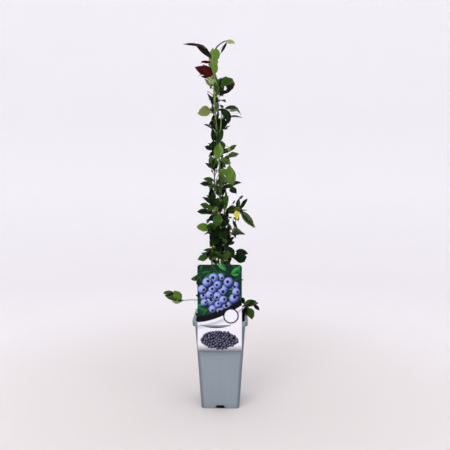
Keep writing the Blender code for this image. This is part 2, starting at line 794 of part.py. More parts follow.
def main():
    """Builds the pot, the soil, the label and the bush."""
    clear_scene()
    parts = new_collection("blueberry_bush_in_pot")
    cutters = new_collection("cutters", shown=False)
    materials = {
        "stem": plain_material("green_bark", STEM_GREEN, 0.6),
        "leaf": plain_material("leaf_green", LEAF_GREEN, 0.45),
        "red": plain_material("leaf_red", LEAF_RED, 0.45),
    }
    pot = make_pot(parts, cutters, plain_material("grey_polypropylene", POT_GREY, 0.45))
    soil = make_soil(parts, plain_material("potting_soil", SOIL_BROWN, 0.95))
    label = make_label(parts, cutters, plain_material("label_card", LABEL_GREEN, 0.35))
    blockers = [tree_of(pot), tree_of(soil), tree_of(label)]
    make_bush(parts, blockers, materials)
    remove_all(cutters)


main()
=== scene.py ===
"""Looks of a young blueberry bush in a deep square nursery pot, with a picture label over the rim.

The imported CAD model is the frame: metres, +Z up, the label faces -Y. The leafy shoots of the CAD
are drawn again here by the same seeded rule, leaf for leaf where the CAD has one, with finer twigs
and leaves added inside the reach of each shoot.
"""

import json
import logging
import math
import random
from collections.abc import Callable
from dataclasses import dataclass, field, replace
from enum import Enum
from functools import partial

import bmesh
import bpy
import numpy as np
from mathutils.bvhtree import BVHTree
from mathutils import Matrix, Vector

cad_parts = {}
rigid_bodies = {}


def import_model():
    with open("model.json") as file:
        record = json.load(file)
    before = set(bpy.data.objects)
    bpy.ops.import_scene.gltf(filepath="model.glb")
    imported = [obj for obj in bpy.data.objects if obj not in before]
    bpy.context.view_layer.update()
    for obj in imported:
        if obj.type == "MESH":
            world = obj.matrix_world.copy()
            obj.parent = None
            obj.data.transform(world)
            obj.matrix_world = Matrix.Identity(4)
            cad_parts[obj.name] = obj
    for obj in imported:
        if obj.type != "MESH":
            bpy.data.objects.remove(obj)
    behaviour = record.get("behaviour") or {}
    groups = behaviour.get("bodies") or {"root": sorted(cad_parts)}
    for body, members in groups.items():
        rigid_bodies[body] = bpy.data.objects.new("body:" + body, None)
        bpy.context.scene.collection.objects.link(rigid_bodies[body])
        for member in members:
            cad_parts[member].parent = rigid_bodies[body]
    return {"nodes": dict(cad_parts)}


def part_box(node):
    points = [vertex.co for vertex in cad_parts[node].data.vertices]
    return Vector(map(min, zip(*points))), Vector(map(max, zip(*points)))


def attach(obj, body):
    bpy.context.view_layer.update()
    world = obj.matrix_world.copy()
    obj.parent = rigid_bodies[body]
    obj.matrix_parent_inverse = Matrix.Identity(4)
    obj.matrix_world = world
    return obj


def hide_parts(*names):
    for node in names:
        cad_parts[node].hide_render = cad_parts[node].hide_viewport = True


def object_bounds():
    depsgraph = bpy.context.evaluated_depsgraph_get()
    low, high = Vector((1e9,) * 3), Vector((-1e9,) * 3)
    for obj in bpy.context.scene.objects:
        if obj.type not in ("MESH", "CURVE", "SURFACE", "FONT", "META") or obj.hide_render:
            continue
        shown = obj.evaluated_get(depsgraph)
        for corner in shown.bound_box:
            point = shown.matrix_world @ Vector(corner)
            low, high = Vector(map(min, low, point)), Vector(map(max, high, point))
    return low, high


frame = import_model()
CAD_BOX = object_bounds()
LOG = logging.getLogger("blueberry_bush")
BODY = "root"
MM = 0.001
GAP = 0.0003
POLE = 1e-5  # side of a ring that is drawn in to a point
TURN = 2 * math.pi

Array = np.ndarray
Colour = tuple[float, float, float, float]
Adder = Callable[..., bpy.types.NodeSocket]


# -------- small tools


def linear(code: str) -> Colour:
    """Turns an sRGB hex colour into linear light.

    Args:
        code: The colour as "#rrggbb".

    Returns:
        Red, green, blue and an alpha of 1, each channel being ((c + 0.055) / 1.055) ** 2.4 above 0.04045.
    """
    parts = [int(code[i : i + 2], 16) / 255 for i in (1, 3, 5)]
    return (*(c / 12.92 if c <= 0.04045 else ((c + 0.055) / 1.055) ** 2.4 for c in parts), 1.0)


def fill(node: bpy.types.Node, inputs: dict) -> None:
    """Fills a node's inputs.

    Args:
        node: The node.
        inputs: For an input's name or number, a value, or the output that it is linked to.
    """
    for name, value in inputs.items():
        if isinstance(value, bpy.types.NodeSocket):
            node.id_data.links.new(value, node.inputs[name])
        else:
            node.inputs[name].default_value = value


def add_node(
    tree: bpy.types.NodeTree, kind: str, inputs: dict | None = None, output: str = "", **settings
) -> bpy.types.NodeSocket:
    """Adds one shader node with its settings, and fills or links its inputs.

    Args:
        tree: The material's node tree.
        kind: The node's type.
        inputs: What goes on its inputs.
        output: The wanted output, or nothing for the first that is in use.
        **settings: Properties of the node.

    Returns:
        The output.
    """
    made = tree.nodes.new("ShaderNode" + kind)
    for name, value in settings.items():
        setattr(made, name, value)
    fill(made, inputs or {})
    return made.outputs[output] if output else next(socket for socket in made.outputs if socket.enabled)


def ripples(places: Array, size: float, seed: int) -> Array:
    """Smooth random relief: the sum of sine waves of random direction and phase, over the root of their number.

    Args:
        places: Points, whose last axis holds 2 or 3 coordinates in metres.
        size: Distance in metres from one lump to the next.
        seed: Chooses the waves.

    Returns:
        One value for each point, mostly from -1 to 1.
    """
    waves = 14
    rule = np.random.default_rng(seed)
    way = rule.normal(size=(waves, places.shape[-1]))
    way *= (rule.uniform(0.7, 1.4, waves) / np.linalg.norm(way, axis=1))[:, None] * TURN / size
    total = np.sin(places @ way.T + rule.uniform(0, TURN, waves)).sum(-1)
    return total / math.sqrt(waves)


def unit(vectors: Array) -> Array:
    """The vectors, each divided by its length."""
    return vectors / np.maximum(np.linalg.norm(vectors, axis=-1, keepdims=True), 1e-12)


def round_angles(count: int) -> Array:
    """Angles evenly round a full turn."""
    return np.arange(count) / count * TURN


def on_four_sides(one: Array) -> Array:
    """Repeats a form of the -Y wall on all four walls, by quarter turns about the pot's middle.

    Args:
        one: Its points, as two axes of numbering and one of coordinates.

    Returns:
        The same with an axis of four in front.
    """
    turns = np.arange(4) * math.pi / 2
    spin = np.stack([np.cos(turns), -np.sin(turns), np.sin(turns), np.cos(turns)], -1).reshape(4, 2, 2)
    level = np.einsum("kij,abj->kabi", spin, one[..., :2])
    return np.concatenate([level, np.broadcast_to(one[..., 2:], (4, *one.shape[:2], 1))], -1)


def tube_quads(tubes: int, rings: int, around: int) -> Array:
    """Faces of several tubes, each a stack of rings that close on themselves.

    Args:
        tubes: How many tubes follow each other in the list of points.
        rings: Rings of one tube.
        around: Points of one ring, in right-hand order about the tube's direction.

    Returns:
        Four point numbers for each face, facing outwards.
    """
    ring, point = np.arange(rings - 1)[:, None], np.arange(around)[None, :]
    after = (point + 1) % around
    low, high = ring * around, (ring + 1) * around
    one = np.stack([low + point, low + after, high + after, high + point], -1).reshape(-1, 4)
    return (one[None] + (np.arange(tubes) * rings * around)[:, None, None]).reshape(-1, 4)


def smooth_line(points: Array, count: int) -> Array:
    """Points on the Catmull-Rom curve through given ones.

    Between points b and c, with a before and d after, a place t is
    (2b + (c-a)t + (2a-5b+4c-d)t^2 + (3b-a-3c+d)t^3) / 2.

    Args:
        points: The given points, along the last axis but one.
        count: How many points to return.

    Returns:
        Evenly numbered points of the curve, with the same ends.
    """
    last = points.shape[-2] - 1
    place = np.linspace(0, last, count)
    low = np.minimum(place.astype(int), last - 1)
    t = (place - low)[:, None]
    a, b, c, d = (points[..., np.clip(low + i, 0, last), :] for i in (-1, 0, 1, 2))
    return (2 * b + (c - a) * t + (2 * a - 5 * b + 4 * c - d) * t**2 + (3 * b - a - 3 * c + d) * t**3) / 2


def round_tubes(lines: Array, radii: Array, around: int) -> Array:
    """Rings of points carried along lines: centre + radius * (cos a * side + sin a * other side).

    Args:
        lines: Centres, as tubes x rings x 3.
        radii: Radius of each ring, as tubes x rings, or tubes x rings x around where it has relief.
        around: Points of one ring.

    Returns:
        Points as tubes x rings x around x 3, in right-hand order about the line.
    """
    along = unit(np.gradient(lines, axis=1))
    steep = np.abs(along[:, :1, 2:]) > 0.75
    helper = np.where(steep, [1.0, 0.0, 0.0], [0.0, 0.0, 1.0])
    side = unit(np.cross(np.broadcast_to(helper, along.shape), along))
    other = np.cross(along, side)
    angle = round_angles(around)
    radii = radii[..., None] if radii.ndim == 2 else radii
    spoke = np.cos(angle)[:, None] * side[:, :, None] + np.sin(angle)[:, None] * other[:, :, None]
    return lines[:, :, None] + radii[..., None] * spoke


def add_object(name: str, data: bpy.types.ID) -> bpy.types.Object:
    """Adds an object to the scene, at the origin.

    Args:
        name: Its name.
        data: Its mesh, light or camera.

    Returns:
        The object.
    """
    made = bpy.data.objects.new(name, data)
    bpy.context.scene.collection.objects.link(made)
    return made


def new_piece(
    name: str,
    points: Array,
    finishes: list[bpy.types.Material],
    faces: Array | None = None,
    face_finish: Array | None = None,
    corner_uv: Array | None = None,
    colours: Array | None = None,
    crease: float = 40.0,
    replaces: tuple[str, ...] = (),
) -> bpy.types.Object:
    """Makes one piece at the origin from arrays, closes its poles and seams, and lets it ride.

    Args:
        name: The piece's name.
        points: Its points in the frame, as tubes x rings x around x 3, or without the first axis.
        finishes: Its materials.
        faces: Point numbers of its four-sided faces, where they aren't those of the tubes.
        face_finish: For each face, the number of its material.
        corner_uv: For each face, four pairs of its own UV map.
        colours: For each point, the linear colour of the "print" attribute.
        crease: Faces that meet at more than this many degrees show an edge.
        replaces: CAD nodes that the piece stands for.

    Returns:
        The piece.
    """
    if faces is None:
        faces = tube_quads(*(points if points.ndim == 4 else points[None]).shape[:3])
    mesh = bpy.data.meshes.new(name)
    flat = points.reshape(-1, 3)
    mesh.vertices.add(len(flat))
    mesh.vertices.foreach_set("co", flat.astype(np.float32).ravel())
    mesh.loops.add(faces.size)
    mesh.loops.foreach_set("vertex_index", faces.astype(np.int32).ravel())
    mesh.polygons.add(len(faces))
    mesh.polygons.foreach_set("loop_start", np.arange(0, faces.size, 4, dtype=np.int32))
    for finish in finishes:
        mesh.materials.append(finish)
    if face_finish is not None:
        mesh.polygons.foreach_set("material_index", face_finish.astype(np.int32))
    mesh.update(calc_edges=True)
    if corner_uv is not None:
        mesh.uv_layers.new(name="along_leaf").data.foreach_set("uv", corner_uv.astype(np.float32).ravel())
    if colours is not None:
        attribute = mesh.attributes.new("print", "FLOAT_COLOR", "POINT")
        attribute.data.foreach_set("color", colours.astype(np.float32).ravel())
    solid = bmesh.new()
    solid.from_mesh(mesh)
    bmesh.ops.remove_doubles(solid, verts=solid.verts, dist=2e-6)
    bmesh.ops.dissolve_degenerate(solid, edges=solid.edges, dist=1e-7)
    solid.to_mesh(mesh)
    solid.free()
    mesh.shade_smooth()
    mesh.set_sharp_from_angle(angle=math.radians(crease))
    piece = add_object(name, mesh)
    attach(piece, BODY)
    if replaces:
        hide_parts(*replaces)
    LOG.info("%s: %d faces, stands for %d CAD nodes", name, len(mesh.polygons), len(replaces))
    return piece


# -------- finishes


@dataclass(frozen=True)
class Finish:
    """What every finish shares: a name, and a Principled shader that its own nodes fill."""

    name: str

    def inputs(self, add: Adder) -> dict:
        """What goes on the shader's inputs; each finish adds its nodes and says it."""
        raise NotImplementedError

    def material(self) -> bpy.types.Material:
        """Makes the material.

        Returns:
            The material, with its shader filled.
        """
        made = bpy.data.materials.new(self.name)
        made.use_nodes = True
        fill(made.node_tree.nodes["Principled BSDF"], self.inputs(partial(add_node, made.node_tree)))
        return made


@dataclass(frozen=True)
class MouldedPolypropylene(Finish):
    """Injection-moulded polypropylene, grey-blue: a satin skin with faint upright flow bands."""

    main: str = "#8d9ba4"
    band: str = "#96a2ab"
    # painted shade: the colour that the rounded corners darken to where they turn away from the light
    corner: str = "#68747c"
    dust: str = "#7a746c"
    # painted shade: the near-black of the inner wall below the rim
    peat: str = "#15100e"
    grain: float = 1.6 * MM  # the real grain is about 0.2 mm and wouldn't show, so it is drawn coarser
    bands: float = 9 * MM
    dust_height: float = 16 * MM
    peat_line: float = 0.2095
    peat_edge: float = 1.2 * MM
    peat_ragged: float = 6 * MM

    def inputs(self, add: Adder) -> dict:
        """Flow bands, dust near the foot, painted shade on the rounded corners and on the inner wall below the rim, and
        a fine grain.

        Args:
            add: Adds a node to the material.

        Returns:
            What goes on the shader's inputs.
        """
        place = add("TexCoord", output="Object")
        normal = place.node.outputs["Normal"]
        tall = add("Mapping", {"Vector": place, "Scale": (1.0, 1.0, 0.06)})
        flow = add("TexNoise", {"Vector": tall, "Scale": 1 / self.bands, "Detail": 2.0})
        base = add("Mix", {"Factor": flow, "A": linear(self.main), "B": linear(self.band)}, data_type="RGBA")
        height = add("SeparateXYZ", {"Vector": place}, "Z")
        low = add("MapRange", {"Value": height, "From Max": self.dust_height, "To Min": 0.5, "To Max": 0.0})
        specks = add("TexNoise", {"Vector": place, "Scale": 260.0, "Detail": 6.0})
        dusty = add("Math", {0: low, 1: specks}, operation="MULTIPLY")
        coloured = add("Mix", {"Factor": dusty, "A": base, "B": linear(self.dust)}, data_type="RGBA")
        facing = add("SeparateXYZ", {"Vector": normal}).node.outputs
        # painted shade: the rounded corners darken as their normal turns between front and side
        slant = add("Math", {0: facing["X"], 1: facing["Y"]}, operation="MULTIPLY")
        turned = add("Math", {0: slant}, operation="ABSOLUTE")
        corner_shade = add("MapRange", {"Value": turned, "From Min": 0.03, "From Max": 0.5, "To Max": 0.85})
        corner_shaded = add("Mix", {"Factor": corner_shade, "A": coloured, "B": linear(self.corner)}, data_type="RGBA")
        # painted shade darkens the inner wall up to a ragged line below the rim, which makes the pot's mouth dark
        level = add("VectorMath", {0: place, 1: (1.0, 1.0, 0.0)}, operation="MULTIPLY")
        outward = add("VectorMath", {0: normal, 1: level}, operation="DOT_PRODUCT")
        inner = add("MapRange", {"Value": outward, "From Min": -0.04, "From Max": -0.02, "To Min": 1.0, "To Max": 0.0})
        ragged = add("Math", {0: specks, 1: -self.peat_ragged, 2: height}, operation="MULTIPLY_ADD")
        below = add(
            "MapRange",
            {"Value": ragged, "From Min": self.peat_line - self.peat_edge, "From Max": self.peat_line,
             "To Min": 0.94, "To Max": 0.0},
        )
        inside_shade = add("Math", {0: inner, 1: below}, operation="MULTIPLY")
        inside_shaded = add("Mix", {"Factor": inside_shade, "A": corner_shaded, "B": linear(self.peat)}, data_type="RGBA")
        rough = add("MapRange", {"Value": specks, "To Min": 0.46, "To Max": 0.6})
        skin = add("TexNoise", {"Vector": place, "Scale": 1 / self.grain, "Detail": 3.0})
        bump = add("Bump", {"Height": skin, "Strength": 0.18, "Distance": 0.1 * MM})
        return {"IOR": 1.49, "Specular IOR Level": 0.22, "Base Color": inside_shaded, "Roughness": rough, "Normal": bump}


@dataclass(frozen=True)
class PeatSoil(Finish):
    """Peat and composted bark: nearly black, dull, with paler fibres and chips."""

    dark: str = "#120d0a"
    brown: str = "#3a2a1e"
    crumb: float = 3.5 * MM

    def inputs(self, add: Adder) -> dict:
        """Noise at the size of a crumb mixes the two browns and raises the surface.

        Args:
            add: Adds a node to the material.

        Returns:
            What goes on the shader's inputs.
        """
        place = add("TexCoord", output="Object")
        clods = add("TexNoise", {"Vector": place, "Scale": 1 / self.crumb, "Detail": 8.0})
        tone = add("MapRange", {"Value": clods, "From Min": 0.38, "From Max": 0.68})
        colour = add("Mix", {"Factor": tone, "A": linear(self.dark), "B": linear(self.brown)}, data_type="RGBA")
        bump = add("Bump", {"Height": clods, "Strength": 0.7, "Distance": 1.0 * MM})
        return {"Roughness": 0.95, "IOR": 1.4, "Base Color": colour, "Normal": bump}


@dataclass(frozen=True)
class PrintedCard(Finish):
    """Offset-printed polypropylene card: flat ink under a thin clear varnish, so it has a soft gloss."""

    def inputs(self, add: Adder) -> dict:
        """The ink is the piece's own colour attribute, broken by fine dots, and the varnish ripples very slightly.

        Args:
            add: Adds a node to the material.

        Returns:
            What goes on the shader's inputs.
        """
        ink = add("Attribute", output="Color", attribute_name="print")
        place = add("TexCoord", output="Object")
        screen = add("TexNoise", {"Vector": place, "Scale": 1400.0, "Detail": 1.0})
        shade = add("MapRange", {"Value": screen, "To Min": 0.88, "To Max": 1.12})
        dots = add("CombineColor", {i: shade for i in range(3)})
        printed = add("Mix", {"Factor": 1.0, "A": ink, "B": dots}, data_type="RGBA", blend_type="MULTIPLY")
        ripple = add("TexNoise", {"Vector": place, "Scale": 60.0, "Detail": 1.0})
        bump = add("Bump", {"Height": ripple, "Strength": 0.10, "Distance": 0.3 * MM})
        return {"Roughness": 0.38, "IOR": 1.5, "Specular IOR Level": 0.12, "Base Color": printed, "Normal": bump}


@dataclass(frozen=True)
class YoungBark(Finish):
    """Blueberry bark: waxy green on this year's wood, paler at the growing end, grey-brown at the foot."""

    dark: str = "#3c4c1a"
    pale: str = "#95a45c"
    tip: str = "#a3ad62"
    old: str = "#5f4c34"
    streak: float = 2.2 * MM
    green_from: float = 0.24
    pale_from: float = 0.66

    def inputs(self, add: Adder) -> dict:
        """Long streaks mix dark and pale green, and the height brings in brown below and yellow above.

        Args:
            add: Adds a node to the material.

        Returns:
            What goes on the shader's inputs.
        """
        place = add("TexCoord", output="Object")
        height = add("SeparateXYZ", {"Vector": place}, "Z")
        tall = add("Mapping", {"Vector": place, "Scale": (1.0, 1.0, 0.05)})
        streaks = add("TexNoise", {"Vector": tall, "Scale": 1 / self.streak, "Detail": 4.0})
        mixed = add("MapRange", {"Value": streaks, "From Min": 0.42, "From Max": 0.6})
        green = add("Mix", {"Factor": mixed, "A": linear(self.dark), "B": linear(self.pale)}, data_type="RGBA")
        young = add(
            "MapRange",
            {"Value": height, "From Min": self.pale_from, "From Max": self.pale_from + 0.07, "To Max": 0.75},
        )
        upper = add("Mix", {"Factor": young, "A": green, "B": linear(self.tip)}, data_type="RGBA")
        aged = add(
            "MapRange",
            {"Value": height, "From Min": self.green_from, "From Max": self.green_from + 0.12,
             "To Min": 0.85, "To Max": 0.0},
        )
        whole = add("Mix", {"Factor": aged, "A": upper, "B": linear(self.old)}, data_type="RGBA")
        warts = add("TexNoise", {"Vector": place, "Scale": 900.0, "Detail": 3.0})
        bump = add("Bump", {"Height": warts, "Strength": 0.5, "Distance": 0.2 * MM})
        return {"Roughness": 0.5, "IOR": 1.45, "Specular IOR Level": 0.25, "Base Color": whole, "Normal": bump}


@dataclass(frozen=True)
class LeafSkin(Finish):
    """A leaf's waxy skin: one plain colour for the spray, a little mottled, with paler side veins."""

    main: str
    vein: str
    gloss: float = 0.42
    mottle: float = 9 * MM
    veins: float = 7.0  # pairs of side veins on one leaf

    def inputs(self, add: Adder) -> dict:
        """Veins slant forward in the leaf's own UV, where u runs along it and v across from the midrib.

        Args:
            add: Adds a node to the material.

        Returns:
            What goes on the shader's inputs.
        """
        place = add("TexCoord").node.outputs
        patches = add("TexNoise", {"Vector": place["Object"], "Scale": 1 / self.mottle, "Detail": 5.0})
        shade = add("MapRange", {"Value": patches, "To Min": 0.62, "To Max": 1.38})
        dim = add("CombineColor", {i: shade for i in range(3)})
        mottled = add("Mix", {"Factor": 1.0, "A": linear(self.main), "B": dim}, data_type="RGBA", blend_type="MULTIPLY")
        own = add("SeparateXYZ", {"Vector": place["UV"]}).node.outputs
        out = add("Math", {0: own["Y"]}, operation="ABSOLUTE")
        slant = add("Math", {0: out, 1: -0.16, 2: own["X"]}, operation="MULTIPLY_ADD")
        wave = add("Math", {0: slant, 1: TURN * self.veins}, operation="MULTIPLY")
        crest = add("Math", {0: wave}, operation="COSINE")
        line = add("MapRange", {"Value": crest, "From Min": 0.86, "From Max": 1.0, "To Max": 0.4})
        veined = add("Mix", {"Factor": line, "A": mottled, "B": linear(self.vein)}, data_type="RGBA")
        rim = add("MapRange", {"Value": out, "From Min": 0.86, "From Max": 1.0, "To Max": 0.45})
        edged = add("Mix", {"Factor": rim, "A": veined, "B": linear(self.vein)}, data_type="RGBA")
        bump = add("Bump", {"Height": crest, "Strength": 0.35, "Distance": -0.15 * MM})
        return {"Roughness": self.gloss, "IOR": 1.42, "Specular IOR Level": 0.1, "Base Color": edged, "Normal": bump}


@dataclass(frozen=True)
class StudioPaper(Finish):
    """Matt background paper, with painted shade that makes it a little warmer and darker near the pot."""

    # painted shade: the paper's colour near the pot
    under: str = "#e4dfdd"
    floor: str = "#f2f0f2"
    wall: str = "#f8f7fa"

    def inputs(self, add: Adder) -> dict:
        """The distance from the pot mixes painted shade near the pot into the floor's colour, and the height brings in
        the wall's.

        Args:
            add: Adds a node to the material.

        Returns:
            What goes on the shader's inputs.
        """
        place = add("TexCoord", output="Object")
        far = add("VectorMath", {0: place}, operation="LENGTH")
        away = add("MapRange", {"Value": far, "From Min": 0.22, "From Max": 1.1}, interpolation_type="SMOOTHSTEP")
        ground = add("Mix", {"Factor": away, "A": linear(self.under), "B": linear(self.floor)}, data_type="RGBA")
        height = add("SeparateXYZ", {"Vector": place}, "Z")
        rise = add("MapRange", {"Value": height, "From Max": 0.5})
        tint = add("Mix", {"Factor": rise, "A": ground, "B": linear(self.wall)}, data_type="RGBA")
        return {"Roughness": 0.9, "Specular IOR Level": 0.1, "Base Color": tint}


class Tone(Enum):
    """The plain colours that the leaves are dealt: name, upper side, underside, veins."""

    # painted shade and painted light: the night, deep, mid and lightest green tones are one leaf green at four levels
    # of light; night and deep are painted shade on leaves deep in the crown's shadow, and the lightest is painted light
    # on leaves that face the lamps
    NIGHT = ("night", "#100f08", "#232415", "#2a2818")
    DEEP = ("deep", "#0c2108", "#24381c", "#213c18")
    MID = ("mid", "#2c4c12", "#4e6834", "#53762c")
    FRESH = ("fresh", "#567a26", "#76904f", "#8aa256")
    OLIVE = ("olive", "#7d8745", "#8b9462", "#9ca468")
    PALE = ("pale", "#8b9c66", "#a0ad86", "#adb88c")
    GREY = ("grey", "#43552f", "#6f7f5c", "#74835a")
    RED = ("red", "#420305", "#5a1113", "#601010")
    YELLOW = ("yellow", "#d2ca48", "#cfc97c", "#e0da7c")

    @property
    def label(self) -> str:
        """The tone's word."""
        return self.value[0]

    def finishes(self) -> list[bpy.types.Material]:
        """The skins of a leaf in this tone.

        Returns:
            That of the upper side and that of the underside.
        """
        label, upper, under, vein = self.value
        return [
            LeafSkin(f"waxy_leaf_{label}", upper, vein).material(),
            LeafSkin(f"leaf_underside_{label}", under, vein, gloss=0.6).material(),
        ]


# -------- the pot and the soil


def square_rings(sides: Array, heights: Array, corners: Array, arc: int, run: int) -> Array:
    """A stack of level squares with round corners, turned as the sun goes against the clock.

    A corner's points are centre + radius * (cos a, sin a) for a quarter turn, and the straight run to
    the next corner is divided evenly.

    Args:
        sides: Side of each square.
        heights: Height of each square.
        corners: Corner radius of each.
        arc: Steps of a corner.
        run: Steps of a straight side.

    Returns:
        Points as squares x (4 * (arc + run)) x 3.
    """
    corners = np.minimum(corners, sides / 2)[:, None, None]
    quarter = np.linspace(0, math.pi / 2, arc + 1)
    share = (np.arange(1, run) / run)[None, :, None]
    turn = np.array([[0.0, -1.0], [1.0, 0.0]])
    loops = []
    for number in range(4):
        angle = quarter + number * math.pi / 2
        middle = (number + 0.5) * math.pi / 2
        centre = (sides[:, None, None] / 2 - corners) * math.sqrt(2) * np.array([math.cos(middle), math.sin(middle)])
        bend = centre + corners * np.stack([np.cos(angle), np.sin(angle)], -1)
        loops += [bend, bend[:, -1:] * (1 - share) + bend[:, :1] @ turn.T * share]
    flat = np.concatenate(loops, axis=1)
    level = np.broadcast_to(heights[:, None, None], (*flat.shape[:2], 1))
    return np.concatenate([flat, level], axis=-1)


@dataclass
class NurseryPot:
    """The deep square pot: tapering body, turned-down rim, and a drain notch in the foot of each wall."""

    height: float = 0.215
    rim_side: float = 0.130
    rim_height: float = 0.011
    wall: float = 0.0018
    floor: float = 0.0022
    top_side: float = 0.119
    base_side: float = 0.091
    rim_corner: float = 0.012
    body_corner: float = 0.009
    edge: float = 0.0007
    notch: tuple[float, float, float, float] = (0.026, 0.015, 0.0085, 0.007)  # foot, head, height, depth
    border: tuple[float, float] = (0.0011, 0.0007)  # half the bead's width, and how far it stands out
    past: float = 0.004  # how far the wedges that cut the notches stand out of the pot
    bead_rings: int = 28
    bead_around: int = 10

    def side(self, height: float | Array) -> float | Array:
        """The body's outer side at a height."""
        return self.base_side + (self.top_side - self.base_side) * height / self.height

    def shell(self) -> Array:
        """The profile of wall and rim carried round the square, from the inner floor over the rim to the base.

        Returns:
            Points as squares x around x 3. The order makes the faces point outwards.
        """
        w, e, top, foot = self.wall, self.edge, self.height, self.height - self.rim_height
        inner, lip = self.side(top) - 2 * w, self.rim_side
        thin_rim, thin_body = self.rim_corner - w, self.body_corner - w
        rounding = [(math.sin(a), math.cos(a)) for a in np.linspace(0, math.pi / 2, 5)]
        base = [(self.side(2 * e) - 4 * e * s, 2 * e - 2 * e * c, self.body_corner) for s, c in rounding]
        rows = [(POLE, 0.0, POLE), *base[::-1]]
        rows += [(self.side(h), h, self.body_corner) for h in np.linspace(0.006, top - w, 12)]
        rows += [(lip - 2 * w, top - w, thin_rim), (lip - 2 * w - 0.001, foot + e, thin_rim)]
        rows += [(lip - 0.001 - 2 * e * (1 - s), foot + e * (1 - c), self.rim_corner) for s, c in rounding]
        rows += [(lip - 2 * e * (1 - c), top - e * (1 - s), self.rim_corner) for s, c in rounding]
        rows += [(inner + 2 * e * (1 - s), top - e * (1 - c), thin_body) for s, c in rounding]
        rows += [(self.side(h) - 2 * w, h, thin_body) for h in np.linspace(top - 0.004, self.floor, 10)]
        rows += [(POLE, self.floor, POLE)]
        sides, heights, corners = np.array(rows).T
        return square_rings(sides, heights, corners, 8, 6)

    def notch_wedges(self) -> tuple[Array, Array]:
        """Four wedges, wide at the foot, that cut the drain notches.

        Returns:
            Points and faces.
        """
        foot, head, height, depth = self.notch
        wide = foot + (foot - head) * self.past / height
        ring = np.array([(-wide, -self.past), (wide, -self.past), (head, height), (-head, height)]) * [0.5, 1.0]
        spans = (self.base_side / 2 - depth, self.base_side / 2 + self.past)
        points = on_four_sides(np.array([[(x, -y, z) for x, z in ring] for y in spans]))
        caps = np.array([[3, 2, 1, 0], [4, 5, 6, 7]])
        faces = [tube_quads(4, 2, 4), (caps[None] + 8 * np.arange(4)[:, None, None]).reshape(-1, 4)]
        return points, np.concatenate(faces)

    def borders(self) -> Array:
        """The raised bead round each notch: a half-oval carried up one side, over the head and down the other.

        Returns:
            Points as beads x stations x around x 3.
        """
        foot, head, height, _ = self.notch
        half, proud = self.border
        line = np.array([(-foot / 2, half), (-head / 2, height), (head / 2, height), (foot / 2, half)])
        share = np.linspace(0, 3, self.bead_rings)
        low = np.minimum(share.astype(int), 2)
        spot = line[low] + (line[low + 1] - line[low]) * (share - low)[:, None]
        way = unit(np.gradient(spot, axis=0))
        out = np.stack([-way[:, 1], way[:, 0]], -1)[:, None]
        angle = round_angles(self.bead_around)
        reach = np.ones((self.bead_rings, 1))
        reach[[0, -1]] = 0.0
        flat = spot[:, None] + (half * reach * np.cos(angle))[..., None] * out + out * half * 0.8
        deep = self.side(flat[..., 1]) / 2 + proud * reach * np.sin(angle)
        return on_four_sides(np.stack([flat[..., 0], -deep, flat[..., 1]], -1))

    def build(self) -> None:
        """Makes the pot and its notch borders, and dresses both."""
        plastic = MouldedPolypropylene("grey_polypropylene").material()
        pot = new_piece("nursery_pot", self.shell(), [plastic], replaces=("pot",))
        points, faces = self.notch_wedges()
        cutter = bpy.data.meshes.new("notch_wedges")
        cutter.from_pydata(points.reshape(-1, 3).tolist(), [], faces.tolist())
        wedges = add_object("notch_wedges", cutter)
        cut = pot.modifiers.new("drain_notches", "BOOLEAN")
        cut.operation, cut.solver, cut.object = "DIFFERENCE", "EXACT", wedges
        bpy.context.view_layer.update()
        result = bpy.data.meshes.new_from_object(pot.evaluated_get(bpy.context.evaluated_depsgraph_get()))
        pot.modifiers.clear()
        pot.data = result
        bpy.data.objects.remove(wedges, do_unlink=True)
        result.shade_smooth()
        result.set_sharp_from_angle(angle=math.radians(32))
        new_piece("drain_notch_borders", self.borders(), [plastic])


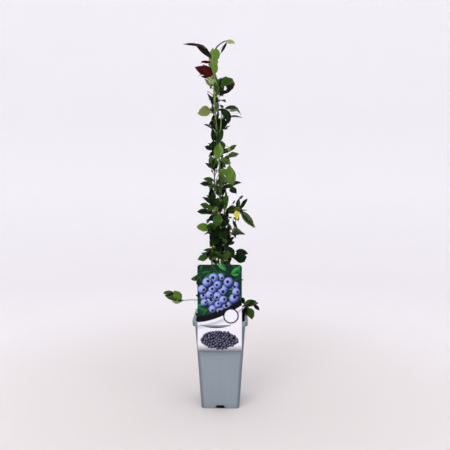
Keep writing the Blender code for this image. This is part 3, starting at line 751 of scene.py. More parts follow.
@dataclass
class SoilFill:
    """The potting soil: a lumpy top between the walls, with loose crumbs and bark chips on it."""

    pot: NurseryPot
    top: float = 0.197
    rings: int = 70
    lump: float = 1.6 * MM
    root_corner: float = 0.0072
    crumbs: int = 900
    crumb_sizes: tuple[float, float] = (0.7 * MM, 2.4 * MM)

    def unevenness(self, places: Array) -> Array:
        """How many lumps high the top is at these places: large and small ripples, less 0.9."""
        return 0.55 * ripples(places, 11 * MM, 3) + 0.45 * ripples(places, 4 * MM, 4) - 0.9

    def block(self) -> Array:
        """The soil as level squares, from the middle of the underside up the walls and in over the lumpy top.

        Returns:
            Points as squares x around x 3.
        """
        pot, low = self.pot, self.pot.floor + GAP
        clear = 2 * (pot.wall + GAP)
        inward = np.linspace(1.0, 1e-4, self.rings)
        # the root ball is rounded off at the foot, which leaves the dark hollows behind the notches
        foot = [POLE, pot.side(low) - 0.040, pot.side(low) - 0.032, pot.side(0.02) - clear, pot.side(0.1) - clear]
        sides = np.concatenate([foot, (pot.side(self.top) - clear) * inward])
        heights = np.concatenate([[low, low, 0.009, 0.02, 0.1], np.full(self.rings, self.top)])
        corners = np.concatenate([[POLE], np.full(4, self.root_corner), self.root_corner * inward])
        points = square_rings(sides, heights, corners, 6, 22)
        top = points[len(foot) :]
        top[..., 2] += self.lump * self.unevenness(top[..., :2]) * np.clip((1 - inward) * 12, 0, 1)[:, None]
        return points

    def notch_peat(self) -> Array:
        """A near-black plug that swells into each drain notch and paints the shade of its hollow: the notch's outline
        carried out, shrinking to a lumpy front.

        Returns:
            Points as notches x stations x around x 3.
        """
        foot, head, height, _ = self.pot.notch
        low = 0.3 * MM
        corner = np.array([(-foot / 2, low), (foot / 2, low), (head / 2, height), (-head / 2, height)]) * 0.995
        share = np.linspace(0, 1, 9)[:-1, None]
        outline = np.concatenate([a + (b - a) * share for a, b in zip(corner, np.roll(corner, -1, axis=0))])
        middle = outline.mean(0)
        size = np.array([1e-4, 1.0, 1.0, 1.0, 0.94, 1e-4])[:, None, None]
        depth = np.array([6.6, 6.6, 2.4, 1.3, 0.9, 0.8])[:, None] * MM
        flat = middle + (outline - middle) * size
        flat[..., 1] = np.maximum(flat[..., 1], low)
        lumps = ripples(flat.reshape(-1, 2), 4 * MM, 9).reshape(len(size), -1)
        level = depth + np.where(depth < 2 * MM, 0.4 * MM, 0.0) * lumps
        return on_four_sides(np.stack([flat[..., 0], level - self.pot.base_side / 2, flat[..., 1]], -1))

    def chips(self) -> Array:
        """Crumbs and chips strewn on the top: short spindles, mostly lying, of seeded size and direction.

        Returns:
            Points as crumbs x rings x around x 3.
        """
        rule, count = np.random.default_rng(11), self.crumbs
        edge = self.pot.side(self.top) - 2 * (self.pot.wall + GAP)
        spot = rule.uniform(-0.48, 0.48, (count, 2)) * edge
        size = rule.uniform(*self.crumb_sizes, count) * rule.uniform(0.5, 1.0, count)
        way = unit(rule.normal(size=(count, 3)) * [1, 1, 0.35])
        middle = np.column_stack([spot, self.top + self.lump * self.unevenness(spot) + 0.3 * size])
        lines = middle[:, None] + way[:, None] * (np.linspace(-1, 1, 5)[:, None] * size[:, None, None])
        shape = np.array([0.0, 0.75, 1.0, 0.7, 0.0]) * size[:, None] * rule.uniform(0.35, 0.8, (count, 1))
        return round_tubes(lines, shape, 5)

    def build(self) -> None:
        """Makes the block of soil, the near-black plugs that paint the shade in the notches, and the crumbs that lie on
        top.
        """
        soil = PeatSoil("peat_soil").material()
        new_piece("potting_soil", self.block(), [soil], crease=70, replaces=("soil",))
        # painted shade: a near-black plug fills each drain notch where its hollow lies in shadow
        wet = PeatSoil("wet_peat", "#040302", "#0e0a07").material()
        new_piece("notch_peat", self.notch_peat(), [wet], crease=60)
        bark = PeatSoil("bark_chips", "#1d140d", "#5b4330").material()
        new_piece("soil_crumbs", self.chips(), [bark], crease=25)


# -------- the picture label


def blend(under: Array, over: Array | Colour, cover: Array) -> Array:
    """Lays one colour over another: under * (1 - cover) + over * cover, with cover kept from 0 to 1."""
    cover = np.clip(cover, 0, 1)[:, None]
    return under * (1 - cover) + np.asarray(over) * cover


def soft_step(value: Array, width: float) -> Array:
    """1 where the value is well above zero and 0 well below, over a border of this width."""
    return np.clip(value / width + 0.5, 0, 1)


@dataclass
class BerryPrint:
    """A made-up picture of berries and leaves over a white field, in millimetres from the card's lower left."""

    width: float = 102.0
    leaf_count: int = 60
    ink: dict[str, Colour] = field(default_factory=lambda: {
        name: linear(code) for name, code in {
            "ground": "#061210", "shade": "#123528", "leaf": "#1d6b3a", "bright": "#3aa848", "black": "#04070b",
            "white": "#f4f3fa", "lilac": "#b2b5cc", "night": "#11163f", "blue": "#5b70c4", "bloom": "#c3cefa",
            "star": "#0a0e2a", "steel": "#7d8089", "plum": "#0d0b16", "plum_light": "#9496b6", "ring": "#050505",
        }.items()
    })

    def plain(self, name: str, like: Array) -> Array:
        """One ink all over, for as many places as there are in another picture."""
        return np.broadcast_to(np.array(self.ink[name]), (len(like), 4))

    def sweep(self, x: Array) -> Array:
        """Height of the curve where the picture ends, rising to the right as a power of x."""
        return 71 + 40 * (x / self.width) ** 1.7

    def leaves(self, colour: Array, x: Array, z: Array) -> Array:
        """Lays ovals with a pale midrib all over the picture field, each turned its own way.

        Args:
            colour: The picture so far.
            x: Place across.
            z: Place upwards.

        Returns:
            The picture with the leaves on it.
        """
        rule = random.Random("printed leaves")
        for number in range(self.leaf_count):
            cx, cz = rule.uniform(-2, 104), rule.uniform(78, 209)
            turn, length = rule.uniform(0, math.pi), rule.uniform(8, 17)
            u = ((x - cx) * math.cos(turn) + (z - cz) * math.sin(turn)) / length
            v = (-(x - cx) * math.sin(turn) + (z - cz) * math.cos(turn)) / (length * 0.42)
            name = ("shade", "leaf", "shade", "bright", "shade", "leaf")[number % 6]
            tone = blend(self.plain("ground", x), self.ink[name], 0.6 + 0.6 * v)
            tone = blend(tone, self.ink["bright"], 0.5 * soft_step(0.07 - np.abs(v), 0.06))
            colour = blend(colour, tone, soft_step(1 - np.abs(v) - u**2, 0.12))
        return colour

    def ball(
        self, colour: Array, x: Array, z: Array, at: tuple[float, float, float], inks: tuple[str, str, str]
    ) -> Array:
        """Paints one round berry, lit from the upper left, with a five-pointed crown.

        Args:
            colour: The picture so far.
            x: Place across.
            z: Place upwards.
            at: The berry's centre and radius.
            inks: Its dark, middle and light ink.

        Returns:
            The picture with the berry on it.
        """
        dark, middle, light = inks
        cx, cz, radius = at
        u, v = (x - cx) / radius, (z - cz) / radius
        far = np.hypot(u, v)
        lit = np.clip(0.62 * (1 - far**4) + 0.42 * (v - u), 0, 1)
        tone = blend(self.plain(dark, x), self.ink[middle], 1.7 * lit)
        tone = blend(tone, self.ink[light], 1.5 * (lit - 0.42))
        turn = cx * 1.7 + cz * 2.3
        su, sv = u - 0.30 * math.cos(turn), v - 0.30 * math.sin(turn)
        star = 0.33 + 0.08 * np.cos(5 * np.arctan2(sv, su)) - np.hypot(su, sv)
        tone = blend(tone, self.ink[light], 0.5 * soft_step(star + 0.09, 0.1))
        tone = blend(tone, self.ink["star"], soft_step(star, 0.1))
        return blend(colour, tone, soft_step(1 - far, 0.12))

    def bunch(
        self, count: int, box: tuple[float, float, float, float], sizes: tuple[float, float], apart: float, seed: str
    ) -> list[tuple[float, float, float]]:
        """Scatters berries over an oval by a seeded rule, none closer to another than a share of their radii.

        Args:
            count: How many places are tried.
            box: The oval's centre and half-axes.
            sizes: Smallest and largest radius.
            apart: The least distance, as a share of the two radii together.
            seed: Chooses the places.

        Returns:
            Centre and radius of each berry that found room.
        """
        rule, found = random.Random(seed), []
        for _ in range(count):
            turn, reach = rule.uniform(0, TURN), math.sqrt(rule.random())
            spot = (box[0] + box[2] * reach * math.cos(turn), box[1] + box[3] * reach * math.sin(turn))
            radius = rule.uniform(*sizes)
            if all(math.dist(spot, other[:2]) > apart * (radius + other[2]) for other in found):
                found.append((*spot, radius))
        return found

    def colours(self, x: Array, z: Array) -> Array:
        """Works out the print at places of the card.

        Args:
            x: Millimetres from the left edge.
            z: Millimetres from the lower edge.

        Returns:
            Linear colours with alpha.
        """
        ink = self.ink
        places = np.column_stack([x, z]) * MM
        colour = blend(self.plain("ground", x), ink["shade"], 0.5 + 0.5 * ripples(places, 0.03, 5))
        colour = self.leaves(colour, x, z)
        for at in self.bunch(900, (52, 140, 43, 42), (9.0, 13.0), 0.68, "large berries"):
            colour = self.ball(colour, x, z, at, ("night", "blue", "bloom"))
        over = z - self.sweep(x)
        colour = blend(colour, ink["black"], soft_step(15 - over, 5.0))
        lower = blend(self.plain("white", x), ink["lilac"], soft_step(over + 13, 10) * 0.8)
        lower = blend(lower, ink["white"], soft_step(over + 7, 1.0))
        # print grey towards the lower edge, deepened as painted shade where the card curls back from the light
        lower = blend(lower, ink["steel"], soft_step(10 - z, 16))
        heap = 1 - np.hypot((x - 50) / 42, (z - 29) / 19)
        lower = blend(lower, ink["plum"], soft_step(heap, 0.1))
        for at in self.bunch(2600, (50, 29, 42, 20), (2.9, 4.3), 0.66, "small berries"):
            lower = self.ball(lower, x, z, at, ("plum", "plum", "plum_light"))
        colour = blend(colour, lower, soft_step(-over, 0.8))
        badge = np.hypot(x - 77, z - 86)
        colour = blend(colour, ink["ring"], soft_step(18.0 - badge, 0.8))
        return blend(colour, ink["white"], soft_step(14.9 - badge, 0.8))


@dataclass
class PictureLabel:
    """The plastic card in front of the rim, with the crescent slot and the tongue that hooks over the rim."""

    pot: NurseryPot
    width: float = 0.102
    height: float = 0.205
    top: float = 0.349
    thickness: float = 0.0006
    corner: float = 0.007
    shift: float = -0.001
    slot_width: float = 0.078
    slot_middle: float = -0.010
    slot_drop: float = 0.0055
    sags: tuple[float, float] = (0.0015, 0.0085)
    sag_fade: float = 0.013  # the height over which the rows come straight again
    tongue_width: float = 0.060
    tongue_drop: float = 0.014
    tongue_rings: int = 40
    columns: int = 122
    row: float = 0.85 * MM
    curl: tuple[float, float, float] = (0.016, 0.0048, 0.0012)  # the curled strip's height, way back and rise
    back: str = "#dcdce2"

    def card(self) -> tuple[Array, Array, Array]:
        """The card as rows across, each running over the front and back over the reverse.

        Width is the full width less what the round corners take. Near the slot the rows below it sag by
        the lower arc and those above by the upper one, so that the slot opens between two rows.

        Returns:
            Points, faces, and for each point whether it lies on the front.
        """
        low, slot = self.top - self.height, self.pot.height - self.slot_drop
        below = np.linspace(low, slot, round((slot - low) / self.row) + 1)
        above = np.linspace(slot, self.top, round((self.top - slot) / self.row) + 1)
        base = np.concatenate([below, above])
        is_low = np.arange(len(base)) < len(below)
        inset = np.minimum(base - low, self.top - base)
        cut = self.corner - np.sqrt(self.corner**2 - np.maximum(0, self.corner - inset) ** 2)
        u = np.linspace(-1, 1, self.columns)
        u = np.concatenate([u, u[::-1]])
        x = self.shift + u * (self.width / 2 - cut)[:, None]
        across = np.clip((x - self.slot_middle) / (self.slot_width / 2), -1, 1)
        sag = np.where(is_low, self.sags[1], self.sags[0])[:, None]
        z = base[:, None] - sag * (1 - across**2) * np.exp(-np.abs(base - slot) / self.sag_fade)[:, None]
        strip, way_back, rise = self.curl
        foot = np.clip(1 - (z - low) / strip, 0, 1)
        around = 2 * self.columns
        front = np.arange(around) < self.columns
        y = -(self.pot.rim_side / 2 + GAP) - np.where(front, self.thickness, 0.0) + way_back * foot**2
        points = np.stack([x, y + np.zeros_like(x), z - rise * (1 - u**2) * foot], -1)
        rows = tube_quads(1, len(base), around).reshape(len(base) - 1, around, 4)
        rows = np.delete(rows, len(below) - 1, axis=0).reshape(-1, 4)
        column = np.arange(self.columns - 1)
        flap = np.stack([column, around - 1 - column, around - 2 - column, column + 1], -1)
        open_here = np.abs(across[len(below), : self.columns - 1] + across[len(below), 1 : self.columns]) < 1.99
        caps = [
            flap, flap[:, ::-1] + (len(base) - 1) * around,
            (flap[:, ::-1] + (len(below) - 1) * around)[open_here], (flap + len(below) * around)[open_here],
        ]
        return points, np.concatenate([rows, *caps]), np.broadcast_to(front, x.shape)

    def tongue(self) -> Array:
        """The strip from behind the card over the rim and down inside, as a flat section carried round the bends.

        Returns:
            Points as rings x 4 x 3.
        """
        back, over = -(self.pot.rim_side / 2 + GAP), self.pot.height + GAP
        end, t, count = self.pot.height - self.tongue_drop, self.thickness, self.tongue_rings
        inside = -(self.pot.side(end) / 2 - self.pot.wall - GAP)
        middle = np.array([
            (back, over - 0.004), (back, over), (back + 0.0006, over + t / 2),
            (inside - 0.0006, over + t / 2), (inside + t / 2, over - 0.0004), (inside + t / 2, end),
        ])
        line = smooth_line(np.column_stack([np.zeros(len(middle)), middle]), count)
        way = unit(np.gradient(line, axis=0))
        out = np.column_stack([np.zeros(count), way[:, 2], -way[:, 1]])
        half, thick = np.full(count, self.tongue_width / 2), np.full(count, t / 3)
        half[-8:] -= 0.006 * np.linspace(0, 1, 8) ** 2
        half[[0, -1]] = thick[[0, -1]] = 0.0
        corner = np.array([(1, 1), (-1, 1), (-1, -1), (1, -1)])
        side = np.zeros((count, 4, 3))
        side[..., 0] = self.slot_middle + corner[:, 0] * half[:, None]
        return line[:, None] + side + (corner[:, 1] * thick[:, None])[..., None] * out[:, None]

    def build(self) -> None:
        """Makes the printed card and its tongue."""
        points, faces, front = self.card()
        x = (points[..., 0] - self.shift + self.width / 2).ravel() / MM
        z = (points[..., 2] - self.top + self.height).ravel() / MM
        plain = np.array(linear(self.back))
        colours = np.where(front.ravel()[:, None], BerryPrint().colours(x, z), plain)
        card = PrintedCard("printed_card").material()
        new_piece("picture_label", points, [card], faces, colours=colours, replaces=("label",))
        strip = self.tongue()
        new_piece(
            "label_tongue", strip, [card], colours=np.broadcast_to(plain, (strip[..., 0].size, 4))
        )


# -------- the bush: its rule, as in the CAD


@dataclass(frozen=True)
class Leaf:
    """A leaf's azimuth, rise, roll and arch in degrees, and its length and width in metres."""

    azimuth: float
    rise: float
    roll: float
    length: float
    width: float
    arch: float


@dataclass(frozen=True)
class Stem:
    """An upright stem: foot, tip, radii, and how far it bows and towards which azimuth."""

    name: str
    foot: tuple[float, float]
    tip: tuple[float, float, float]
    radii: tuple[float, float]
    bow: float
    bow_azimuth: float


@dataclass(frozen=True)
class Bough:
    """A bough: the stem and height that it forks from, its tip, radii and outward bow."""

    name: str
    parent: str
    fork: float
    tip: tuple[float, float, float]
    radii: tuple[float, float]
    bow: float


@dataclass(frozen=True)
class Shoot:
    """A side shoot: where it stands, its direction, its end leaf, the leaves below that, and their tones."""

    name: str
    limb: str
    height: float
    azimuth: float
    rise: float
    reach: float
    end_leaf: Leaf
    others: int
    length: float
    splay: float
    lift: float
    tones: tuple[Tone, ...]


@dataclass
class Placed:
    """A leaf on the bush: where it starts, its own measures, its tone, and how it is bent at its edges."""

    base: Array
    leaf: Leaf
    tone: Tone
    fold: float = 16.0
    wave: float = 0.0
    twist: float = 0.0


N, D, M, F, O, P, G, R, Y = (
    Tone.NIGHT, Tone.DEEP, Tone.MID, Tone.FRESH, Tone.OLIVE, Tone.PALE, Tone.GREY, Tone.RED, Tone.YELLOW,
)
TIP = -1.0
MAIN, RIGHT, LEFT, BACK = "stem_main", "stem_right", "stem_left", "stem_back"
UPPER = "bough_upper"
STEMS = (
    Stem(MAIN, (0.009, -0.003), (-0.017, 0.000, 0.794), (0.0031, 0.0015), 0.003, 0),
    Stem(RIGHT, (-0.005, 0.014), (-0.003, 0.012, 0.600), (0.0027, 0.0013), 0.002, 60),
    Stem(LEFT, (-0.021, 0.004), (-0.012, 0.010, 0.605), (0.0025, 0.0012), 0.002, 200),
    Stem(BACK, (0.006, 0.030), (0.012, 0.024, 0.520), (0.0023, 0.0012), 0.004, 90),
)
BOUGHS = (
    Bough(UPPER, MAIN, 0.636, (0.002, -0.001, 0.704), (0.0016, 0.0011), 0.02),
    Bough("bough_right", RIGHT, 0.372, (0.038, 0.004, 0.462), (0.0016, 0.0010), 0.10),
)
# Name without "spray_", limb, height, azimuth, rise, reach; end leaf; others, length, splay, lift; tones.
SHOOT_ROWS = (
    ("red_young", MAIN, 0.783, 190, 42, 0.004, (184, 34, -62, 0.046, 0.028, 14), 1, 0.032, 16, -36, (R, R)),
    ("crown_pale", MAIN, 0.757, 200, 45, 0.005, (188, 52, -46, 0.026, 0.016, 4), 0, 0, 0, 0, (P,)),
    ("crown_curl", MAIN, 0.75, 335, 66, 0.01, (0, 82, 50, 0.066, 0.025, 190), 0, 0, 0, 0, (D,)),
    ("crown_right", MAIN, 0.737, 40, 52, 0.011, (62, 76, 6, 0.048, 0.027, 10), 1, 0.034, 40, -30, (D, M)),
    ("crown_back", MAIN, 0.726, 80, 42, 0.014, (86, 20, 30, 0.044, 0.025, 40), 2, 0.04, 44, -6, (M, D)),
    ("upper_left", MAIN, 0.699, 184, 24, 0.007, (180, 2, -64, 0.034, 0.029, 12), 1, 0.034, -84, 0, (O, D)),
    ("fork_tip", UPPER, TIP, 350, 50, 0.005, (352, 24, 42, 0.056, 0.027, 98), 1, 0.034, 100, -10, (D, D)),
    ("fork_right", UPPER, 0.688, 20, 30, 0.006, (8, 8, 22, 0.046, 0.019, 14), 0, 0, 0, 0, (G,)),
    ("fork_rear", MAIN, 0.652, 118, 56, 0.008, (112, 78, 0, 0.046, 0.018, 8), 2, 0.036, 40, -18, (D, D)),
    ("fork_middle", UPPER, 0.655, 60, 60, 0.006, (66, 75, 0, 0.04, 0.017, 8), 1, 0.032, -70, 0, (D, D)),
    ("upper_front", MAIN, 0.622, 296, 58, 0.008, (305, 74, 10, 0.038, 0.017, 10), 1, 0.03, -60, 10, (D, D)),
    ("gap_right", RIGHT, 0.59, 10, 34, 0.016, (6, 22, 48, 0.034, 0.019, 12), 1, 0.03, 80, -10, (G, D)),
    ("right_top", RIGHT, TIP, 70, 62, 0.01, (80, 60, 10, 0.042, 0.022, 20), 2, 0.036, 72, -36, (M, D)),
    ("centre_front", MAIN, 0.586, 275, 60, 0.007, (272, 78, 0, 0.04, 0.02, -6), 1, 0.03, 76, -60, (F, M)),
    ("left_tip", LEFT, TIP, 176, 62, 0.01, (180, 30, -50, 0.024, 0.016, 12), 3, 0.034, -70, -6, (D, D)),
    ("left_inner", LEFT, 0.564, 236, 46, 0.007, (246, 70, 10, 0.036, 0.019, 8), 2, 0.032, 66, 10, (M, D)),
    ("hanging_pale", RIGHT, 0.568, 316, 30, 0.012, (300, -52, 0, 0.028, 0.022, 10), 2, 0.034, 50, 34, (M, D)),
    ("big_right", RIGHT, 0.523, 352, 10, 0.027, (250, 84, 0, 0.055, 0.028, 8), 1, 0.03, 50, -40, (F, D)),
    ("small_left", LEFT, 0.53, 184, 22, 0.005, (180, 10, -56, 0.029, 0.015, 12), 2, 0.032, -70, 4, (D, D)),
    ("middle_front", MAIN, 0.516, 282, 52, 0.01, (292, 70, -14, 0.038, 0.02, 8), 3, 0.034, 60, -10, (M, D)),
    ("waist_upright", LEFT, 0.478, 140, 56, 0.006, (104, 78, 0, 0.044, 0.02, 8), 3, 0.036, 60, 0, (D, D)),
    ("waist_left", LEFT, 0.462, 188, 30, 0.007, (181, 8, -52, 0.035, 0.019, 14), 2, 0.03, 70, -20, (D, D)),
    ("waist_right", RIGHT, 0.476, 20, 56, 0.01, (75, 76, 0, 0.042, 0.021, 8), 3, 0.036, 80, -6, (D, D)),
    ("waist_front", MAIN, 0.458, 262, 44, 0.01, (250, -58, 0, 0.034, 0.022, 12), 4, 0.036, 56, 20, (M, D)),
    ("outer_right", "bough_right", TIP, 10, 46, 0.012, (0, -46, 58, 0.05, 0.018, 4), 2, 0.032, 110, 0, (G, D)),
    ("side_left", LEFT, 0.424, 184, 24, 0.006, (180, 6, -60, 0.035, 0.022, 10), 2, 0.034, -70, -20, (F, M)),
    ("round_left", LEFT, 0.45, 224, 30, 0.005, (222, -34, 0, 0.022, 0.018, 10), 1, 0.03, 50, 24, (M, D)),
    ("cluster_rear", RIGHT, 0.402, 118, 60, 0.01, (112, 74, 0, 0.046, 0.025, 10), 3, 0.04, 66, -24, (D, D)),
    ("cluster_front", MAIN, 0.402, 258, 30, 0.01, (228, -24, -16, 0.038, 0.026, 20), 5, 0.038, 46, 10, (D, D)),
    ("cluster_side", MAIN, 0.382, 330, 34, 0.009, (340, -48, 30, 0.036, 0.024, 16), 3, 0.036, 60, 4, (D, D)),
    ("skirt_left", LEFT, 0.356, 208, 28, 0.005, (194, -8, -44, 0.03, 0.02, 18), 3, 0.034, 60, -4, (M, D)),
    ("skirt_front", MAIN, 0.346, 286, 34, 0.01, (300, -34, 16, 0.036, 0.022, 16), 4, 0.036, 60, 8, (D, M)),
    ("skirt_right", RIGHT, 0.35, 352, 18, 0.036, (352, 4, 50, 0.032, 0.02, 16), 2, 0.036, 40, -16, (D, D)),
    ("back_tip", BACK, TIP, 60, 62, 0.016, (70, 40, 20, 0.044, 0.024, 24), 3, 0.04, 70, -40, (M, D)),
    ("waist_back", BACK, 0.462, 96, 42, 0.018, (110, 24, -30, 0.044, 0.025, 30), 3, 0.042, 64, -22, (D, M)),
    ("low_waist_back", BACK, 0.402, 50, 38, 0.02, (40, 10, 40, 0.046, 0.026, 30), 3, 0.042, 64, -24, (M, D)),
    ("skirt_back", BACK, 0.345, 120, 34, 0.022, (125, 6, -36, 0.046, 0.026, 30), 4, 0.044, 60, -20, (D, M)),
    ("low_back", BACK, 0.28, 70, 32, 0.024, (60, 10, 30, 0.046, 0.026, 30), 4, 0.044, 64, -18, (D, D)),
    ("low_side", LEFT, 0.29, 150, 34, 0.02, (165, 6, -44, 0.042, 0.024, 26), 3, 0.04, 60, -16, (M, D)),
    ("low_front", MAIN, 0.285, 300, 40, 0.014, (310, 14, 30, 0.036, 0.021, 24), 2, 0.034, 60, -16, (D, D)),
    ("low_left", LEFT, 0.246, 181, 9, 0.074, (178, 20, -54, 0.045, 0.018, 14), 1, 0.03, 60, 0, (G, D)),
    ("low_right", MAIN, 0.228, 4, 16, 0.047, (0, 34, 44, 0.04, 0.017, 70), 2, 0.038, 72, -6, (G, D)),
)
# Leaves that crowd near the end of a shoot: share of its reach, the leaf, its tone.
CROWDED = {
    "spray_low_left": (
        (0.98, Leaf(184, 54, -62, 0.032, 0.019, 10), F),
        (0.94, Leaf(200, 6, -50, 0.024, 0.015, 20), P),
    ),
    "spray_low_right": (
        (0.96, Leaf(352, 30, 58, 0.033, 0.020, 14), M),
        (0.90, Leaf(336, -46, 30, 0.035, 0.025, 16), D),
    ),
    "spray_outer_right": (
        (0.96, Leaf(24, 62, 40, 0.038, 0.012, 30), D),
        (0.90, Leaf(262, 16, 0, 0.019, 0.016, 20), Y),
        (0.55, Leaf(248, -64, 30, 0.026, 0.011, 10), D),
    ),
    "spray_skirt_right": ((0.92, Leaf(340, -14, 46, 0.034, 0.018, 16), D),),
}
TIP_SHOOT = "spray_top"
TIP_LEAVES = (
    (1.00, Leaf(180, 59, -34, 0.083, 0.022, 62), N),
    (0.55, Leaf(268, 82, 0, 0.040, 0.022, -8), F),
    (0.10, Leaf(260, 78, 0, 0.040, 0.024, -6), F),
    (0.90, Leaf(6, 88, 18, 0.078, 0.016, 84), N),
    (0.74, Leaf(182, 6, -30, 0.032, 0.009, 20), R),
    (0.40, Leaf(92, 52, 0, 0.050, 0.026, 40), D),
)

